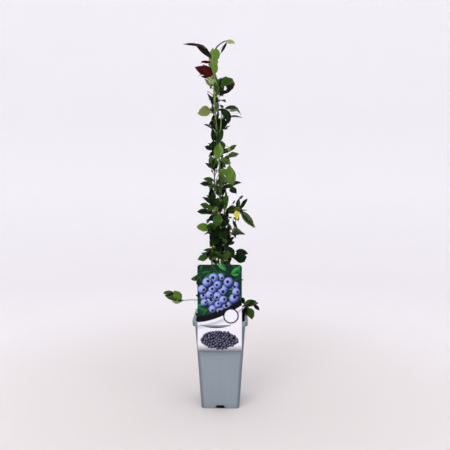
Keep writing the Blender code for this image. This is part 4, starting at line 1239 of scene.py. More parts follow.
# Leaves beyond the CAD's, spread flat to the front and measured on the plant in tenths of a millimetre:
# x, y, z of the foot; direction in degrees from +x towards +z; length; width; bend clockwise; tilt; tone.
TENTHS = 1e4
FRONT_LEAVES = (
    (-188, -40, 8239, 125, 499, 142, -34, 20, N), (-386, -40, 8525, 160, 509, 66, -26, 20, N),
    (-92, -100, 8164, 93, 327, 203, 4, 12, F), (-122, -120, 7863, 94, 333, 174, -6, -14, F),
    (-211, -60, 8167, 177, 256, 66, 6, 10, R), (-157, -80, 7832, 143, 386, 213, 24, -18, R),
    (-176, -60, 7901, 150, 385, 133, -20, 26, R), (-152, -90, 7820, 180, 319, 85, 8, 20, R),
    (-71, -120, 7639, 139, 303, 170, -18, 16, P), (-77, -100, 7391, 83, 434, 269, 12, -12, M),
    (-30, -110, 7545, 69, 339, 151, 18, 10, D), (50, -140, 7584, 59, 262, 150, 24, -14, M),
    (20, -130, 7609, 96, 586, 155, 262, 12, M), (320, -150, 7706, -110, 425, 103, 50, 10, N),
    (8, -130, 7407, 83, 265, 132, 6, 14, D), (153, -160, 7497, -156, 220, 99, -12, 10, N),
    (-168, -60, 7152, 103, 211, 76, -8, 10, D), (-210, -80, 7040, 179, 302, 265, 8, 14, O),
    (-35, -110, 7071, -14, 437, 203, 84, 12, D), (-12, -40, 8355, 58, 357, 64, -4, 0, N),
    (119, -60, 8603, 33, 231, 118, 74, 14, P), (176, -60, 7042, 9, 251, 66, 8, 16, P),
    (-72, -120, 7051, 16, 148, 52, 10, 0, N), (-169, 60, 6302, 92, 380, 110, -6, 10, D),
    (-188, 70, 6587, 95, 347, 96, 4, -12, N), (-122, 80, 6328, 93, 308, 101, 8, 14, N),
    (-12, 90, 6329, 81, 357, 110, -8, -10, D), (-34, 100, 6591, 91, 343, 96, 6, 16, D),
    (-98, 90, 6673, 84, 331, 91, -5, -20, N), (-75, 100, 6401, 95, 320, 87, 5, 20, D),
    (-225, 40, 6842, -111, 151, 43, 1, 10, N), (-78, -130, 5873, 94, 407, 160, 6, -14, F),
    (-142, -40, 6115, -128, 128, 95, 20, 10, N), (-169, 20, 5990, 94, 249, 76, 4, 10, D),
    (-24, -20, 5985, 14, 101, 86, -10, 10, N), (-19, 0, 6246, -56, 162, 40, 20, 0, N),
    (181, -20, 6098, 47, 263, 119, 16, 18, M), (190, -40, 6218, -78, 135, 76, 1, 10, O),
    (-151, 40, 5632, 98, 311, 100, 6, 12, N), (-108, 50, 5659, 85, 310, 81, -6, 14, D),
    (36, 60, 5683, 98, 256, 101, 8, -12, D), (-60, -120, 5531, 30, 249, 146, -24, 12, F),
    (-68, 20, 5669, 33, 174, 72, 10, 20, N), (229, -120, 5300, 105, 524, 174, 30, 10, F),
    (-5, -40, 5429, -24, 220, 31, 50, 0, N), (-10, -30, 5487, -82, 218, 29, -14, 0, N),
    (9, -30, 5537, -20, 144, 43, 20, 0, N), (-142, -80, 5424, 170, 278, 123, -6, 14, M),
    (-124, -60, 5377, 147, 96, 38, 1, 0, N), (153, -80, 5239, 53, 115, 52, 10, 0, M),
    (65, 40, 5035, 103, 266, 110, 8, 14, D), (-12, 60, 4963, 90, 314, 86, -8, -14, N),
    (-132, -120, 4704, 104, 477, 170, 16, 16, D), (-204, -100, 4882, 104, 279, 76, 12, 0, N),
    (96, -100, 4668, 93, 463, 160, 20, -14, M), (33, -20, 4688, 85, 396, 119, -8, 14, D),
    (-17, -130, 4859, 75, 132, 61, 1, 10, F), (143, 0, 4808, 86, 268, 71, 10, 14, D),
    (-241, -80, 4767, 151, 270, 147, -22, 14, M), (-89, -110, 4844, -158, 286, 151, -30, -14, M),
    (-179, -140, 4658, 63, 187, 75, 1, 0, O), (-75, -120, 4811, -67, 211, 80, 14, 10, O),
    (-81, -100, 4582, -162, 248, 170, -22, 16, D), (-157, -120, 4382, 79, 279, 123, 10, 14, M),
    (-19, -80, 4317, 30, 305, 161, -16, -18, D), (-1, -40, 4629, -44, 239, 128, 20, 18, N),
    (153, 0, 4422, 91, 318, 105, 4, 16, N), (182, -40, 4531, 3, 96, 43, 1, 0, N),
    (-239, -100, 4294, 169, 338, 203, -10, 14, F), (-347, -130, 4292, 17, 268, 198, 12, -12, M),
    (-119, -110, 4309, -109, 464, 222, -22, 18, D), (-48, -90, 4368, -98, 371, 151, 10, 14, N),
    (-183, -70, 4113, -62, 374, 156, 14, -12, N), (139, -80, 4283, -102, 380, 161, 12, 16, D),
    (130, -100, 4073, -135, 349, 179, -10, 10, N), (-145, -50, 3991, -47, 342, 147, 18, 10, N),
    (66, -20, 4375, -82, 324, 128, -12, 0, N), (-48, -90, 4260, -82, 520, 236, 12, -16, D),
    (43, -100, 4153, -77, 377, 151, -24, 16, D), (162, 0, 4379, -84, 613, 114, 10, -10, N),
    (34, -130, 3985, -152, 281, 165, 16, 18, N), (96, -120, 3854, -157, 309, 155, 14, -14, D),
    (-121, -80, 3713, 21, 326, 151, -14, 14, N), (81, -40, 4328, -114, 308, 128, -10, 14, D),
    (43, -110, 3718, -167, 397, 193, -16, 14, M), (34, -140, 3726, -162, 188, 85, 6, -20, G),
    (-71, -120, 3709, -26, 288, 155, 18, -14, D), (-217, -80, 3762, -128, 277, 76, -20, 10, N),
    (192, 20, 3769, -91, 387, 158, -6, 14, N), (56, 20, 3581, -97, 205, 110, 1, -14, D),
    (-148, 0, 3546, -82, 173, 105, 1, 12, D), (336, -80, 3724, -2, 339, 156, 18, 18, D),
    (346, -100, 3509, 7, 293, 203, -14, -16, D), (346, -40, 3651, 10, 235, 104, 1, 14, N),
    (388, -60, 4724, 83, 295, 99, 12, 16, D), (440, -80, 4748, 89, 229, 57, 1, -14, M),
    (435, -80, 4953, 58, 157, 66, 30, 10, G), (273, -40, 4847, 45, 135, 38, -20, 0, N),
    (340, -90, 4696, 47, 144, 76, 20, 14, F), (368, -140, 4722, -87, 236, 136, -10, 10, Y),
    (454, -100, 4678, -48, 545, 156, -6, 14, G), (487, -110, 4664, -55, 503, 80, -10, -20, D),
    (435, -60, 4700, 7, 211, 31, 8, 0, N), (287, -60, 4489, -70, 265, 76, -14, 10, N),
    (273, -70, 4705, -44, 133, 71, 10, 0, N), (455, -80, 4500, 173, 166, 61, 10, 0, D),
    (-956, -100, 2489, 138, 316, 156, 24, 14, F), (-959, -120, 2484, 178, 224, 104, 8, 14, P),
    (-1030, -130, 2521, 157, 147, 85, 1, -14, M), (-1116, -90, 2717, -184, 293, 132, -16, 12, G),
    (-1100, -100, 2705, -166, 262, 61, -10, -14, N), (551, -100, 2366, 44, 325, 170, 26, 12, D),
    (560, -120, 2406, 50, 249, 108, 26, -18, M), (774, -100, 2431, -29, 230, 99, 26, 10, N),
    (668, -130, 2345, -60, 300, 180, 24, 8, M), (648, -110, 2335, -18, 216, 118, 34, -16, M),
    (500, -200, 2013, 81, 349, 122, 8, 14, N), (500, -100, 1995, 84, 216, 100, 1, -14, D),
    (536, -140, 2155, 75, 237, 103, 6, 14, D), (-515, -220, 2002, 93, 282, 89, 6, 10, N),
    (-530, -200, 2150, 124, 129, 65, 1, 10, D), (-509, -160, 2891, 117, 147, 84, 1, 10, D),
    (-510, -160, 2623, 147, 108, 52, 1, 10, N),
)


def shoots() -> list[Shoot]:
    """The rows of the table as shoots."""
    return [Shoot("spray_" + row[0], *row[1:6], Leaf(*row[6]), *row[7:]) for row in SHOOT_ROWS]


def aim(azimuth: float | Array, rise: float | Array) -> Array:
    """Unit vectors with this azimuth and rise in degrees: (cos a cos e, sin a cos e, sin e)."""
    a, e = np.radians(azimuth), np.radians(rise)
    return np.stack([np.cos(a) * np.cos(e), np.sin(a) * np.cos(e), np.sin(e) + 0 * a], -1)


def along(points: Array, share: float) -> Array:
    """Finds a point on a line.

    Args:
        points: The line's evenly numbered points.
        share: How far along it, from 0 to 1.

    Returns:
        The point there.
    """
    place = share * (len(points) - 1)
    low = min(int(place), len(points) - 2)
    return points[low] + (points[low + 1] - points[low]) * (place - low)


def from_to(ends: tuple[float, float], share: Array) -> Array:
    """Values that go evenly from the first to the second with the share."""
    return ends[0] + (ends[1] - ends[0]) * share


@dataclass
class LeafShape:
    """The form that all leaves share: a short stalk, then a pointed oval, folded on its midrib and arched."""

    stations: tuple[float, ...] = (0.0, 0.08, 0.13, 0.22, 0.36, 0.52, 0.68, 0.82, 0.93, 1.0)
    across: tuple[float, ...] = (-1.0, -0.55, 0.0, 0.55, 1.0)
    stalk: float = 0.10
    stalk_half: float = 0.0006
    least_half: float = 0.0003
    half_thick: float = 0.00024
    rib: float = 0.00042
    rib_length: float = 0.04  # the leaf whose rib has just that radius

    def section(self) -> Array:
        """Places across, over the upper side and back over the underside."""
        return np.array([*self.across, *self.across[-2:0:-1]])

    def axes(self, placed: list[Placed]) -> tuple[Array, Array, Array]:
        """Directions of leaves at their feet, rolled about forward.

        Args:
            placed: The leaves.

        Returns:
            Forward, upward and across unit vectors.
        """
        azimuth, rise, roll = (np.array([getattr(p.leaf, k) for p in placed]) for k in ("azimuth", "rise", "roll"))
        forward, upright = aim(azimuth, rise), aim(azimuth, rise + 90)
        turn = np.radians(roll)[:, None]
        upward = upright * np.cos(turn) + np.cross(forward, upright) * np.sin(turn)
        return forward, upward, np.cross(forward, upward)

    def spines(self, placed: list[Placed], shares: Array) -> tuple[Array, Array]:
        """Midribs as arcs: base + length / bend * (sin(bend t) * forward - (1 - cos(bend t)) * upward).

        Args:
            placed: The leaves.
            shares: Places t along a leaf, from 0 to 1.

        Returns:
            Points, and the blade's normals there, each as leaves x shares x 3.
        """
        forward, upward, _ = self.axes(placed)
        base = np.array([p.base for p in placed])
        length = np.array([p.leaf.length for p in placed])[:, None, None]
        bend = np.radians([p.leaf.arch for p in placed])[:, None]
        s, c = np.sin(bend * shares)[..., None], np.cos(bend * shares)[..., None]
        spine = base[:, None] + length / bend[..., None] * (s * forward[:, None] - (1 - c) * upward[:, None])
        return spine, s * forward[:, None] + c * upward[:, None]

    def half_widths(self, shares: Array, width: Array) -> Array:
        """Half the width: the stalk's, then sin(pi u^0.85)^(0.72 + 0.5 u^3) of half the leaf's, for a sharp tip.

        Args:
            shares: Places along a leaf, where u runs from 0 at the stalk's end to 1.
            width: Each leaf's greatest width.

        Returns:
            Half the width, as leaves x shares.
        """
        u = np.clip((shares - self.stalk) / (1 - self.stalk), 0, 1)
        oval = np.sin(np.pi * u**0.85) ** (0.72 + 0.5 * u**3) * width[:, None] / 2
        return np.where(shares <= self.stalk, self.stalk_half, np.maximum(self.least_half, oval))

    def blades(self, placed: list[Placed]) -> Array:
        """Closed blades: each station's section runs over the upper side and back over the underside.

        A point is spine + half * (s * cos(fold) * across + |s| * sin(fold) * normal), raised by a wave that
        grows with s squared, and moved by the half thickness, which vanishes at the edge. The twist turns
        across and normal about the spine first.

        Args:
            placed: The leaves.

        Returns:
            Points as leaves x stations x around x 3.
        """
        t, s = np.array(self.stations), self.section()
        inner = len(self.across) - 2
        over = np.array([0.0, *[1.0] * inner, 0.0, *[-1.0] * inner])
        spine, normal = self.spines(placed, t)
        side = self.axes(placed)[2][:, None]
        turn, fold = (np.radians([getattr(p, k) for p in placed])[:, None, None] for k in ("twist", "fold"))
        side, normal = side * np.cos(turn) - normal * np.sin(turn), normal * np.cos(turn) + side * np.sin(turn)
        half = self.half_widths(t, np.array([p.leaf.width for p in placed]))
        half[:, [0, -1]] = 0.0
        half = half[..., None]
        wave = np.array([p.wave for p in placed])[:, None, None]
        ripple = wave * np.sin(t[None, :, None] * 9.0 + np.sign(s) * 0.9 + fold * 40) * s**2
        lift = np.abs(s) * np.sin(fold) * half * (1 - 0.25 * np.abs(s)) + ripple * half
        lift = lift + over * self.half_thick * np.where(half > 0, 1.0, 0.0)
        out = s * np.cos(fold) * half
        return spine[:, :, None] + out[..., None] * side[:, :, None] + lift[..., None] * normal[:, :, None]

    def blade_uv(self, leaves: int) -> Array:
        """UV of the blade's face corners: u from stalk to tip, v from -1 to 1 across.

        Args:
            leaves: How many blades there are.

        Returns:
            Four pairs for each face.
        """
        t, s = np.array(self.stations), self.section()
        pairs = np.stack(np.broadcast_arrays(t[:, None], s[None, :]), -1).reshape(-1, 2)
        return np.tile(pairs[tube_quads(1, len(t), len(s))], (leaves, 1, 1))

    def ribs(self, placed: list[Placed]) -> Array:
        """Stalks and midribs: thin tubes along the spines, sunk by half in the blade and fading to the tip.

        Args:
            placed: The leaves.

        Returns:
            Points as leaves x rings x around x 3.
        """
        t = np.linspace(0.0, 0.9, 7)
        spine, _ = self.spines(placed, t)
        size = np.array([p.leaf.length for p in placed])[:, None] / self.rib_length
        radii = self.rib * np.clip(size, 0.6, 1.3) * np.where(t < self.stalk, 1.35, 1.0 - 0.75 * t)
        radii[:, 0], radii[:, -1] = self.rib, 0.0
        return round_tubes(spine, radii, 5)


@dataclass
class Bush:
    """The clump of stems with its side shoots, twigs and leaves."""

    soil_top: float = 0.197
    stem_points: int = 15
    bough_points: int = 7
    shoot_points: int = 6
    sway: float = 0.0025
    flare: float = 0.55  # how much thicker a stem is at the soil
    flare_height: float = 0.035
    tip_reach: float = 0.032
    shoot_radii: tuple[float, float] = (0.0011, 0.0008)
    fine_radii: tuple[float, float] = (0.0005, 0.0004)
    side_radii: tuple[float, float] = (0.0006, 0.00045)
    front_radii: tuple[float, float] = (0.00055, 0.00045)
    shoot_arch: float = 14.0
    first_leaf: float = 0.40
    last_leaf: float = 0.88
    width_share: float = 0.58
    leaf_turns: tuple[int, ...] = (0, 12, -12, 24, -24, 38, -38)
    leaf_miss: float = 0.9 * MM  # a midrib within this of the CAD's mesh is taken as that leaf
    side_tries: int = 120
    side_twist: tuple[float, float] = (64, 88)
    limb_room: float = 0.002
    soil_room: float = 0.003
    pot_half: float = 0.053  # beyond it, a leaf has to stay above the rim
    pot_top: float = 0.220
    label_front: float = -0.062
    crowded: tuple[tuple[float, float], ...] = ((0.34, 0.53), (0.61, 0.70))  # heights with more fine leaves
    slim_from: float = 0.6  # above it, the side leaves keep close and dark
    limb_rings: dict[str, int] = field(default_factory=lambda: {MAIN: 640})
    other_rings: int = 440
    limb_around: int = 14
    twig_rings: int = 12
    twig_around: int = 7
    shape: LeafShape = field(default_factory=LeafShape)
    limbs: dict[str, tuple[Array, Array]] = field(default_factory=dict)
    nodes_on: dict[str, list[float]] = field(default_factory=dict)
    placed: list[Placed] = field(default_factory=list)
    carried: dict[Tone, set[str]] = field(default_factory=dict)
    wood: list[Array] = field(default_factory=list)
    twigs: list[tuple[Array, tuple[float, float]]] = field(default_factory=list)

    def grow_stem(self, stem: Stem) -> None:
        """Points up a stem, bowed once and swaying, and its radii, flared at the foot, as in the CAD.

        Args:
            stem: The stem.
        """
        t = np.arange(self.stem_points) / (self.stem_points - 1)
        start, end = np.array([*stem.foot, self.soil_top + GAP]), np.array(stem.tip)
        ease = np.sin(np.pi * t)
        sway = self.sway * ease * np.sin(TURN * 2 * t)
        turn = math.radians(stem.bow_azimuth)
        points = start + t[:, None] * (end - start)
        points += stem.bow * ease[:, None] * np.array([math.cos(turn), math.sin(turn), 0])
        points += sway[:, None] * np.array([1.0, 0.4, 0.0])
        points[1, :2] = points[0, :2]
        flare = 1 + self.flare * np.exp(-np.maximum(0, points[:, 2] - self.soil_top) / self.flare_height * 2)
        self.limbs[stem.name] = (points, from_to(stem.radii, t) * flare)

    def limb_at(self, name: str, height: float) -> tuple[Array, float]:
        """Where a limb is at a height.

        Args:
            name: The limb.
            height: The height, which may be above its tip.

        Returns:
            Its centre and its radius there.
        """
        points, radii = self.limbs[name]
        if height > points[-1, 2]:
            return points[-1].copy(), radii[-1]
        spot = [np.interp(height, points[:, 2], points[:, i]) for i in range(3)]
        return np.array(spot), float(np.interp(height, points[:, 2], radii))

    def grow_bough(self, bough: Bough) -> None:
        """Points out along a bough from its stem's surface, as in the CAD.

        Args:
            bough: The bough.
        """
        at, radius = self.limb_at(bough.parent, bough.fork)
        end = np.array(bough.tip)
        out = unit(np.array([end[0] - at[0], end[1] - at[1], 0.0]))
        start = at + out * (radius + GAP + bough.radii[0])
        t = np.arange(self.bough_points) / (self.bough_points - 1)
        arc = bough.bow * np.linalg.norm(end - start) * np.sin(np.pi * t)
        points = start + t[:, None] * (end - start) + arc[:, None] * out
        self.limbs[bough.name] = (points, from_to(bough.radii, t))
        self.nodes_on.setdefault(bough.parent, []).append(bough.fork)

    def shoot_line(self, shoot: Shoot) -> tuple[Array, Array]:
        """Carries a shoot out from its limb, flattening towards the tip, as in the CAD.

        Args:
            shoot: The shoot.

        Returns:
            Where it leaves the limb's axis, and its points.
        """
        points, _ = self.limbs[shoot.limb]
        if shoot.height == TIP:
            root = points[-1]
            growth = unit(points[-1] - points[-2])
            start = root + growth * GAP + np.array([0, 0, self.shoot_radii[0] * math.cos(math.radians(shoot.rise))])
        else:
            root, radius = self.limb_at(shoot.limb, shoot.height)
            out = radius + GAP + self.shoot_radii[0] * math.sin(math.radians(shoot.rise))
            start = root + aim(shoot.azimuth, 0.0) * out
        steps = self.shoot_points - 1
        slope = shoot.rise - self.shoot_arch * np.arange(steps) / (steps - 1)
        moves = aim(np.full(steps, shoot.azimuth), slope) * shoot.reach / steps
        return root, np.concatenate([start[None], start + np.cumsum(moves, axis=0)])

    def rule_leaves(self, shoot: Shoot, points: Array) -> list[Placed]:
        """A shoot's leaves by the CAD's seeded rule, in the same order of random draws.

        Args:
            shoot: The shoot.
            points: Its points.

        Returns:
            The leaves, before any is turned aside or left out.
        """
        rule = random.Random(shoot.name)
        end, rest = shoot.tones[0], shoot.tones[-1]
        found = [Placed(points[-1], shoot.end_leaf, end)]
        found += [Placed(along(points, share), leaf, tone) for share, leaf, tone in CROWDED.get(shoot.name, ())]
        for index in range(shoot.others):
            share = self.last_leaf - (self.last_leaf - self.first_leaf) * index / max(1, shoot.others - 1)
            side = -1 if index % 2 else 1
            turn = side * shoot.splay * rule.uniform(0.85, 1.2) + rule.uniform(-14.0, 14.0)
            pitch = shoot.rise + shoot.lift + rule.uniform(-20.0, 20.0)
            roll = rule.uniform(-58.0, 58.0)
            length = shoot.length * rule.uniform(0.84, 1.1)
            arch = 34.0 * rule.uniform(0.4, 1.4)
            leaf = Leaf(shoot.azimuth + turn, pitch, roll, length, length * self.width_share, arch)
            found.append(Placed(along(points, share), leaf, rest))
        return found

    def as_in_cad(self, name: str, wanted: list[Placed]) -> list[Placed]:
        """Keeps each leaf that the CAD node has, turned as it was turned there.

        Args:
            name: The CAD node.
            wanted: Leaves by the rule, before any was turned aside or left out.

        Returns:
            The leaves whose midrib lies in the node's mesh at one of the turns.
        """
        mesh = frame["nodes"][name].data
        mesh.calc_loop_triangles()
        tree = BVHTree.FromPolygons(
            [v.co.copy() for v in mesh.vertices], [tuple(t.vertices) for t in mesh.loop_triangles]
        )
        shares = np.array([0.34, 0.66, 1.0])  # where the CAD's leaf has its stations
        kept = []
        for one in wanted:
            tries = [
                replace(one, leaf=replace(one.leaf, azimuth=one.leaf.azimuth + turn)) for turn in self.leaf_turns
            ]
            spines, _ = self.shape.spines(tries, shares)
            misses = [max(tree.find_nearest(p)[3] for p in spine) for spine in spines.tolist()]
            best = int(np.argmin(misses))
            if misses[best] < self.leaf_miss:
                kept.append(tries[best])
        LOG.info("%s: %d of %d leaves are in the CAD", name, len(kept), len(wanted))
        return kept

    def has_room(self, one: Placed, low: Array, high: Array, first: int) -> bool:
        """Tests whether a leaf may grow, at six points of its midrib.

        Args:
            one: The leaf.
            low: The lowest corner of the box that it has to lie in.
            high: The highest corner.
            first: The first of the points that has to be clear of the limbs.

        Returns:
            True where it lies in the box, and clear of limbs, pot and label.
        """
        spine = self.shape.spines([one], np.linspace(0, 1, 6))[0][0]
        inside = np.all(spine > low) and np.all(spine < high)
        return bool(inside and self.clear_of_limbs(spine[first:]) and self.clear_of_pot(spine))

    def fine_leaves(self, name: str, line: Array, azimuth: float, size: float) -> list[Placed]:
        """Small leaves on finer twigs, inside the reach of the shoot's CAD solid.

        Args:
            name: The CAD node, whose name seeds the rule.
            line: The shoot's points.
            azimuth: The shoot's azimuth.
            size: Length of its own leaves.

        Returns:
            The leaves that lie within the node's box and clear of the limbs.
        """
        low, high = (np.array(corner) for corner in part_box(name))
        middle = (low[2] + high[2]) / 2
        crowded = any(start < middle < end for start, end in self.crowded)
        rule = random.Random(name + " fine")
        found = []
        for number in range(6 if crowded else 3):
            base = along(line, rule.uniform(0.2, 1.0))
            side = -1 if number % 2 else 1
            twig_way = aim(azimuth + side * rule.uniform(35, 130), rule.uniform(-10, 65))
            tip = base + twig_way * rule.uniform(0.003, 0.009)
            length = size * rule.uniform(0.42, 0.72)
            leaf = Leaf(
                azimuth + side * rule.uniform(20, 150), rule.uniform(-45, 70), rule.uniform(-60, 60), length,
                length * rule.uniform(0.5, 0.66), rule.uniform(12, 46),
            )
            one = Placed(tip, leaf, rule.choice((D, D, D, M, M, O if crowded else D)))
            if self.has_room(one, low - 0.003, high + 0.003, 2):
                found.append(one)
                self.twigs.append((np.linspace(base, tip, self.shoot_points), self.fine_radii))
        return found

    def clear_of_limbs(self, points: Array) -> bool:
        """Tests whether points keep their distance from the limbs.

        Args:
            points: The points.

        Returns:
            True where all stay outside every limb by the room it needs.
        """
        z = points[:, 2]
        for line, radii in self.limbs.values():
            inside = (z > line[0, 2]) & (z < line[-1, 2])
            centre = np.stack([np.interp(z, line[:, 2], line[:, i]) for i in (0, 1)], -1)
            far = np.linalg.norm(points[:, :2] - centre, axis=1) - np.interp(z, line[:, 2], radii)
            if np.any(inside & (far < self.limb_room)):
                return False
        return True

    def clear_of_pot(self, points: Array) -> bool:
        """Tests whether points stay above the soil, off the rim and behind the label.

        Args:
            points: The points.

        Returns:
            True where all do.
        """
        x, y, z = points.T
        above = (z > self.pot_top) | (np.maximum(np.abs(x), np.abs(y)) <= self.pot_half)
        return bool(np.all(z > self.soil_top + self.soil_room) and np.all(above) and np.all(y > self.label_front))

    def grow(self) -> None:
        """Works out all limbs, shoots and leaves from the rule and the CAD."""
        for stem in STEMS:
            self.grow_stem(stem)
        for bough in BOUGHS:
            self.grow_bough(bough)
        points, _ = self.limbs[MAIN]
        growth = unit(points[-1] - points[-2])
        spine = points[-1] + growth * GAP + growth * self.tip_reach * np.linspace(0, 1, self.shoot_points)[:, None]
        leading = [Placed(along(spine, share), leaf, tone) for share, leaf, tone in TIP_LEAVES]
        self.add_shoot(TIP_SHOOT, points[-1], spine, leading, 90.0, 0.0)
        for shoot in shoots():
            root, line = self.shoot_line(shoot)
            if shoot.height != TIP:
                self.nodes_on.setdefault(shoot.limb, []).append(shoot.height)
            size = max(shoot.length, 0.03)
            self.add_shoot(shoot.name, root, line, self.rule_leaves(shoot, line), shoot.azimuth, size)
        self.add_front_leaves()
        self.add_side_leaves()

    def add_side_leaves(self) -> None:
        """Adds leaves that grow to the back and the front with their blades to the sides, by a seeded rule.

        They fill the crown as it is seen from the sides, inside the CAD's box and clear of limbs and pot.
        """
        rule = random.Random("side leaves")
        low, high = (np.array(corner) + side * 0.004 for corner, side in zip(CAD_BOX, (1, -1)))
        for _ in range(self.side_tries):
            height = rule.uniform(0.25, 0.785)
            reaching = [stem.name for stem in STEMS if stem.tip[2] > height]
            root, radius = self.limb_at(rule.choice(reaching), height)
            behind = rule.random() < 0.62
            azimuth = (90 if behind else 270) + rule.uniform(-1, 1) * (10 if height > self.slim_from else 22)
            rise = rule.uniform(-30, 62)
            foot = root + aim(azimuth, 0.4 * rise + 24) * (radius + rule.uniform(0.004, 0.014))
            length = rule.uniform(0.028, 0.044) * (1.0 if behind else 0.8)
            leaf = Leaf(azimuth, rise, 0.0, length, length * rule.uniform(0.48, 0.6), rule.uniform(8, 40))
            # painted shade: side leaves mostly take the deep and mid tones, and above slim_from never the lightest
            # green
            tone = rule.choice((D, D, D, M, M, D if height > self.slim_from else F))
            one = Placed(foot, leaf, tone, rule.uniform(8, 26), rule.uniform(0.04, 0.14))
            one.twist = rule.choice((-1, 1)) * rule.uniform(*self.side_twist)
            if self.has_room(one, low, high, 1):
                self.placed.append(one)
                line = root + (foot - root) * np.linspace(0.2, 1, self.shoot_points)[:, None]
                self.twigs.append((line, self.side_radii))

    def add_front_leaves(self) -> None:
        """Puts the measured leaves on the bush, each on a twig that sags from the nearest wood below it."""
        wood = np.concatenate(self.wood + [smooth_line(points, 200) for points, _ in self.limbs.values()])
        share = np.linspace(0, 1, self.shoot_points)[:, None]
        rule = random.Random("front leaves")
        for *measures, arch, tilt, tone in FRONT_LEAVES:
            x, y, z, rise, length, width = measures
            foot = np.array([x, y, z]) / TENTHS
            far = np.linalg.norm(wood - foot, axis=1) + 0.6 * np.maximum(0, wood[:, 2] - foot[2])
            start = wood[int(np.argmin(far))]
            leaf = Leaf(0.0, rise, 0.0, length / TENTHS, width / TENTHS, arch)
            self.placed.append(
                Placed(foot, leaf, tone, rule.uniform(8, 24), rule.uniform(0.03, 0.12), 90.0 - tilt)
            )
            way = aim(0.0, rise) * 0.25 * np.linalg.norm(foot - start)
            self.twigs.append((start + (foot - start) * share + (share**2 - share) * way, self.front_radii))

    def add_shoot(
        self, name: str, root: Array, line: Array, wanted: list[Placed], azimuth: float, size: float
    ) -> None:
        """Puts a shoot and its leaves on the bush.

        Args:
            name: The CAD node that it stands for.
            root: The point on the limb's axis that it grows from.
            line: Its points.
            wanted: Its leaves by the rule.
            azimuth: Its azimuth.
            size: Length of its leaves, or 0 where it gets no finer ones.
        """
        self.wood.append(smooth_line(line, 24))
        joined = line.copy()
        joined[0] = line[0] + (root - line[0]) * 0.45
        self.twigs.append((joined, self.shoot_radii))
        leaves = self.as_in_cad(name, wanted)
        if size:
            leaves += self.fine_leaves(name, line, azimuth, size)
        rule = random.Random(name + " bend")
        for one in leaves:
            one.fold, one.wave = rule.uniform(8, 26), rule.uniform(0.04, 0.16)
            self.carried.setdefault(one.tone, set()).add(name)
        self.placed += leaves

    def limb_surface(self, name: str, seed: int) -> Array:
        """A limb's bark: ridges that run up it, small warts, and a swelling at each shoot.

        The radius is the limb's own times 1 + 0.05 cos(5 a + 60 z) + 0.05 ripples + 0.35 exp(-(dz / 2.4 mm)^2).

        Args:
            name: The limb.
            seed: Chooses its warts.

        Returns:
            Points as 1 x rings x around x 3.
        """
        points, radii = self.limbs[name]
        rings, around = self.limb_rings.get(name, self.other_rings), self.limb_around
        line = smooth_line(points, rings)
        z = line[:, 2:]
        size = np.interp(np.linspace(0, 1, rings), np.linspace(0, 1, len(radii)), radii)
        angle = round_angles(around)
        ridge = 0.05 * np.cos(5 * angle + 60 * z)
        skin = np.stack([np.cos(angle) + 0 * z, np.sin(angle) + 0 * z], -1) * 0.002
        skin = np.concatenate([skin, np.broadcast_to(z[:, None], (*skin.shape[:2], 1))], -1)
        warts = 0.05 * ripples(skin * [1, 1, 0.4], 1.6 * MM, seed)
        heights = np.array(self.nodes_on.get(name, [-1.0]))
        swelling = 0.35 * np.exp(-(((z - heights) / 0.0024) ** 2)).max(1)
        relief = size[:, None] * (1 + ridge + warts + swelling[:, None])
        relief[[0, -1]] = 0.0
        line[0], line[-1] = line[1], line[-2] + unit(line[-2] - line[-3]) * 0.0004
        return round_tubes(line[None], relief[None], around)

    def twig_tubes(self) -> Array:
        """All twigs as smooth tapering tubes with small swellings along them, closed at both ends.

        Returns:
            Points as twigs x rings x around x 3.
        """
        lines = smooth_line(np.array([line for line, _ in self.twigs]), self.twig_rings)
        first, last = np.array([ends for _, ends in self.twigs]).T[..., None]
        share = np.linspace(0, 1, self.twig_rings)
        radii = from_to((first, last), share)
        radii = radii * (1 + 0.16 * np.sin(share * 40 + np.arange(len(lines))[:, None]))
        radii[:, [0, -1]] = 0.0
        return round_tubes(lines, radii, self.twig_around)

    def buds(self) -> Array:
        """Winter buds in the leaf axils: small pointed ovals that lie along the twig beside each stalk.

        Returns:
            Points as buds x rings x around x 3.
        """
        bases = np.array([one.base for one in self.placed])
        forward, upward, side = self.shape.axes(self.placed)
        rule = np.random.default_rng(23)
        way = unit(0.6 * forward + upward + rule.normal(scale=0.25, size=side.shape))
        length = rule.uniform(0.0014, 0.0026, len(bases))[:, None, None]
        lines = bases[:, None] + way[:, None] * np.linspace(-0.15, 1, 6)[:, None] * length
        radii = np.array([0.0, 0.8, 1.0, 0.8, 0.42, 0.0]) * 0.00062 * rule.uniform(0.7, 1.2, (len(bases), 1))
        return round_tubes(lines, radii, 6)

    def build_wood(self) -> None:
        """Makes the bark of each limb, and all twigs as one piece that stands for the CAD's shoots."""
        bark = YoungBark("young_green_bark").material()
        for seed, name in enumerate(self.limbs):
            surface = self.limb_surface(name, seed)
            new_piece(name + "_bark", surface, [bark], crease=60, replaces=(name,))
        sprays = tuple(sorted(n for n in frame["nodes"] if n.startswith("spray_")))
        thin = YoungBark("twig_bark", "#44521f", "#7f8d4c", old="#2c2014", streak=1.2 * MM, green_from=0.27).material()
        new_piece("side_twigs", self.twig_tubes(), [thin], crease=60, replaces=sprays)

    def build_leaves(self) -> None:
        """Makes the leaves of each tone as one piece, with one finish above and one below."""
        around, bands = len(self.shape.section()), len(self.shape.stations) - 1
        under = np.arange(around) >= around // 2
        for tone in Tone:
            group = [one for one in self.placed if one.tone is tone]
            new_piece(
                f"leaves_{tone.label}", self.shape.blades(group), tone.finishes(),
                face_finish=np.tile(under, bands * len(group)),
                corner_uv=self.shape.blade_uv(len(group)), crease=75, replaces=tuple(sorted(self.carried[tone])),
            )

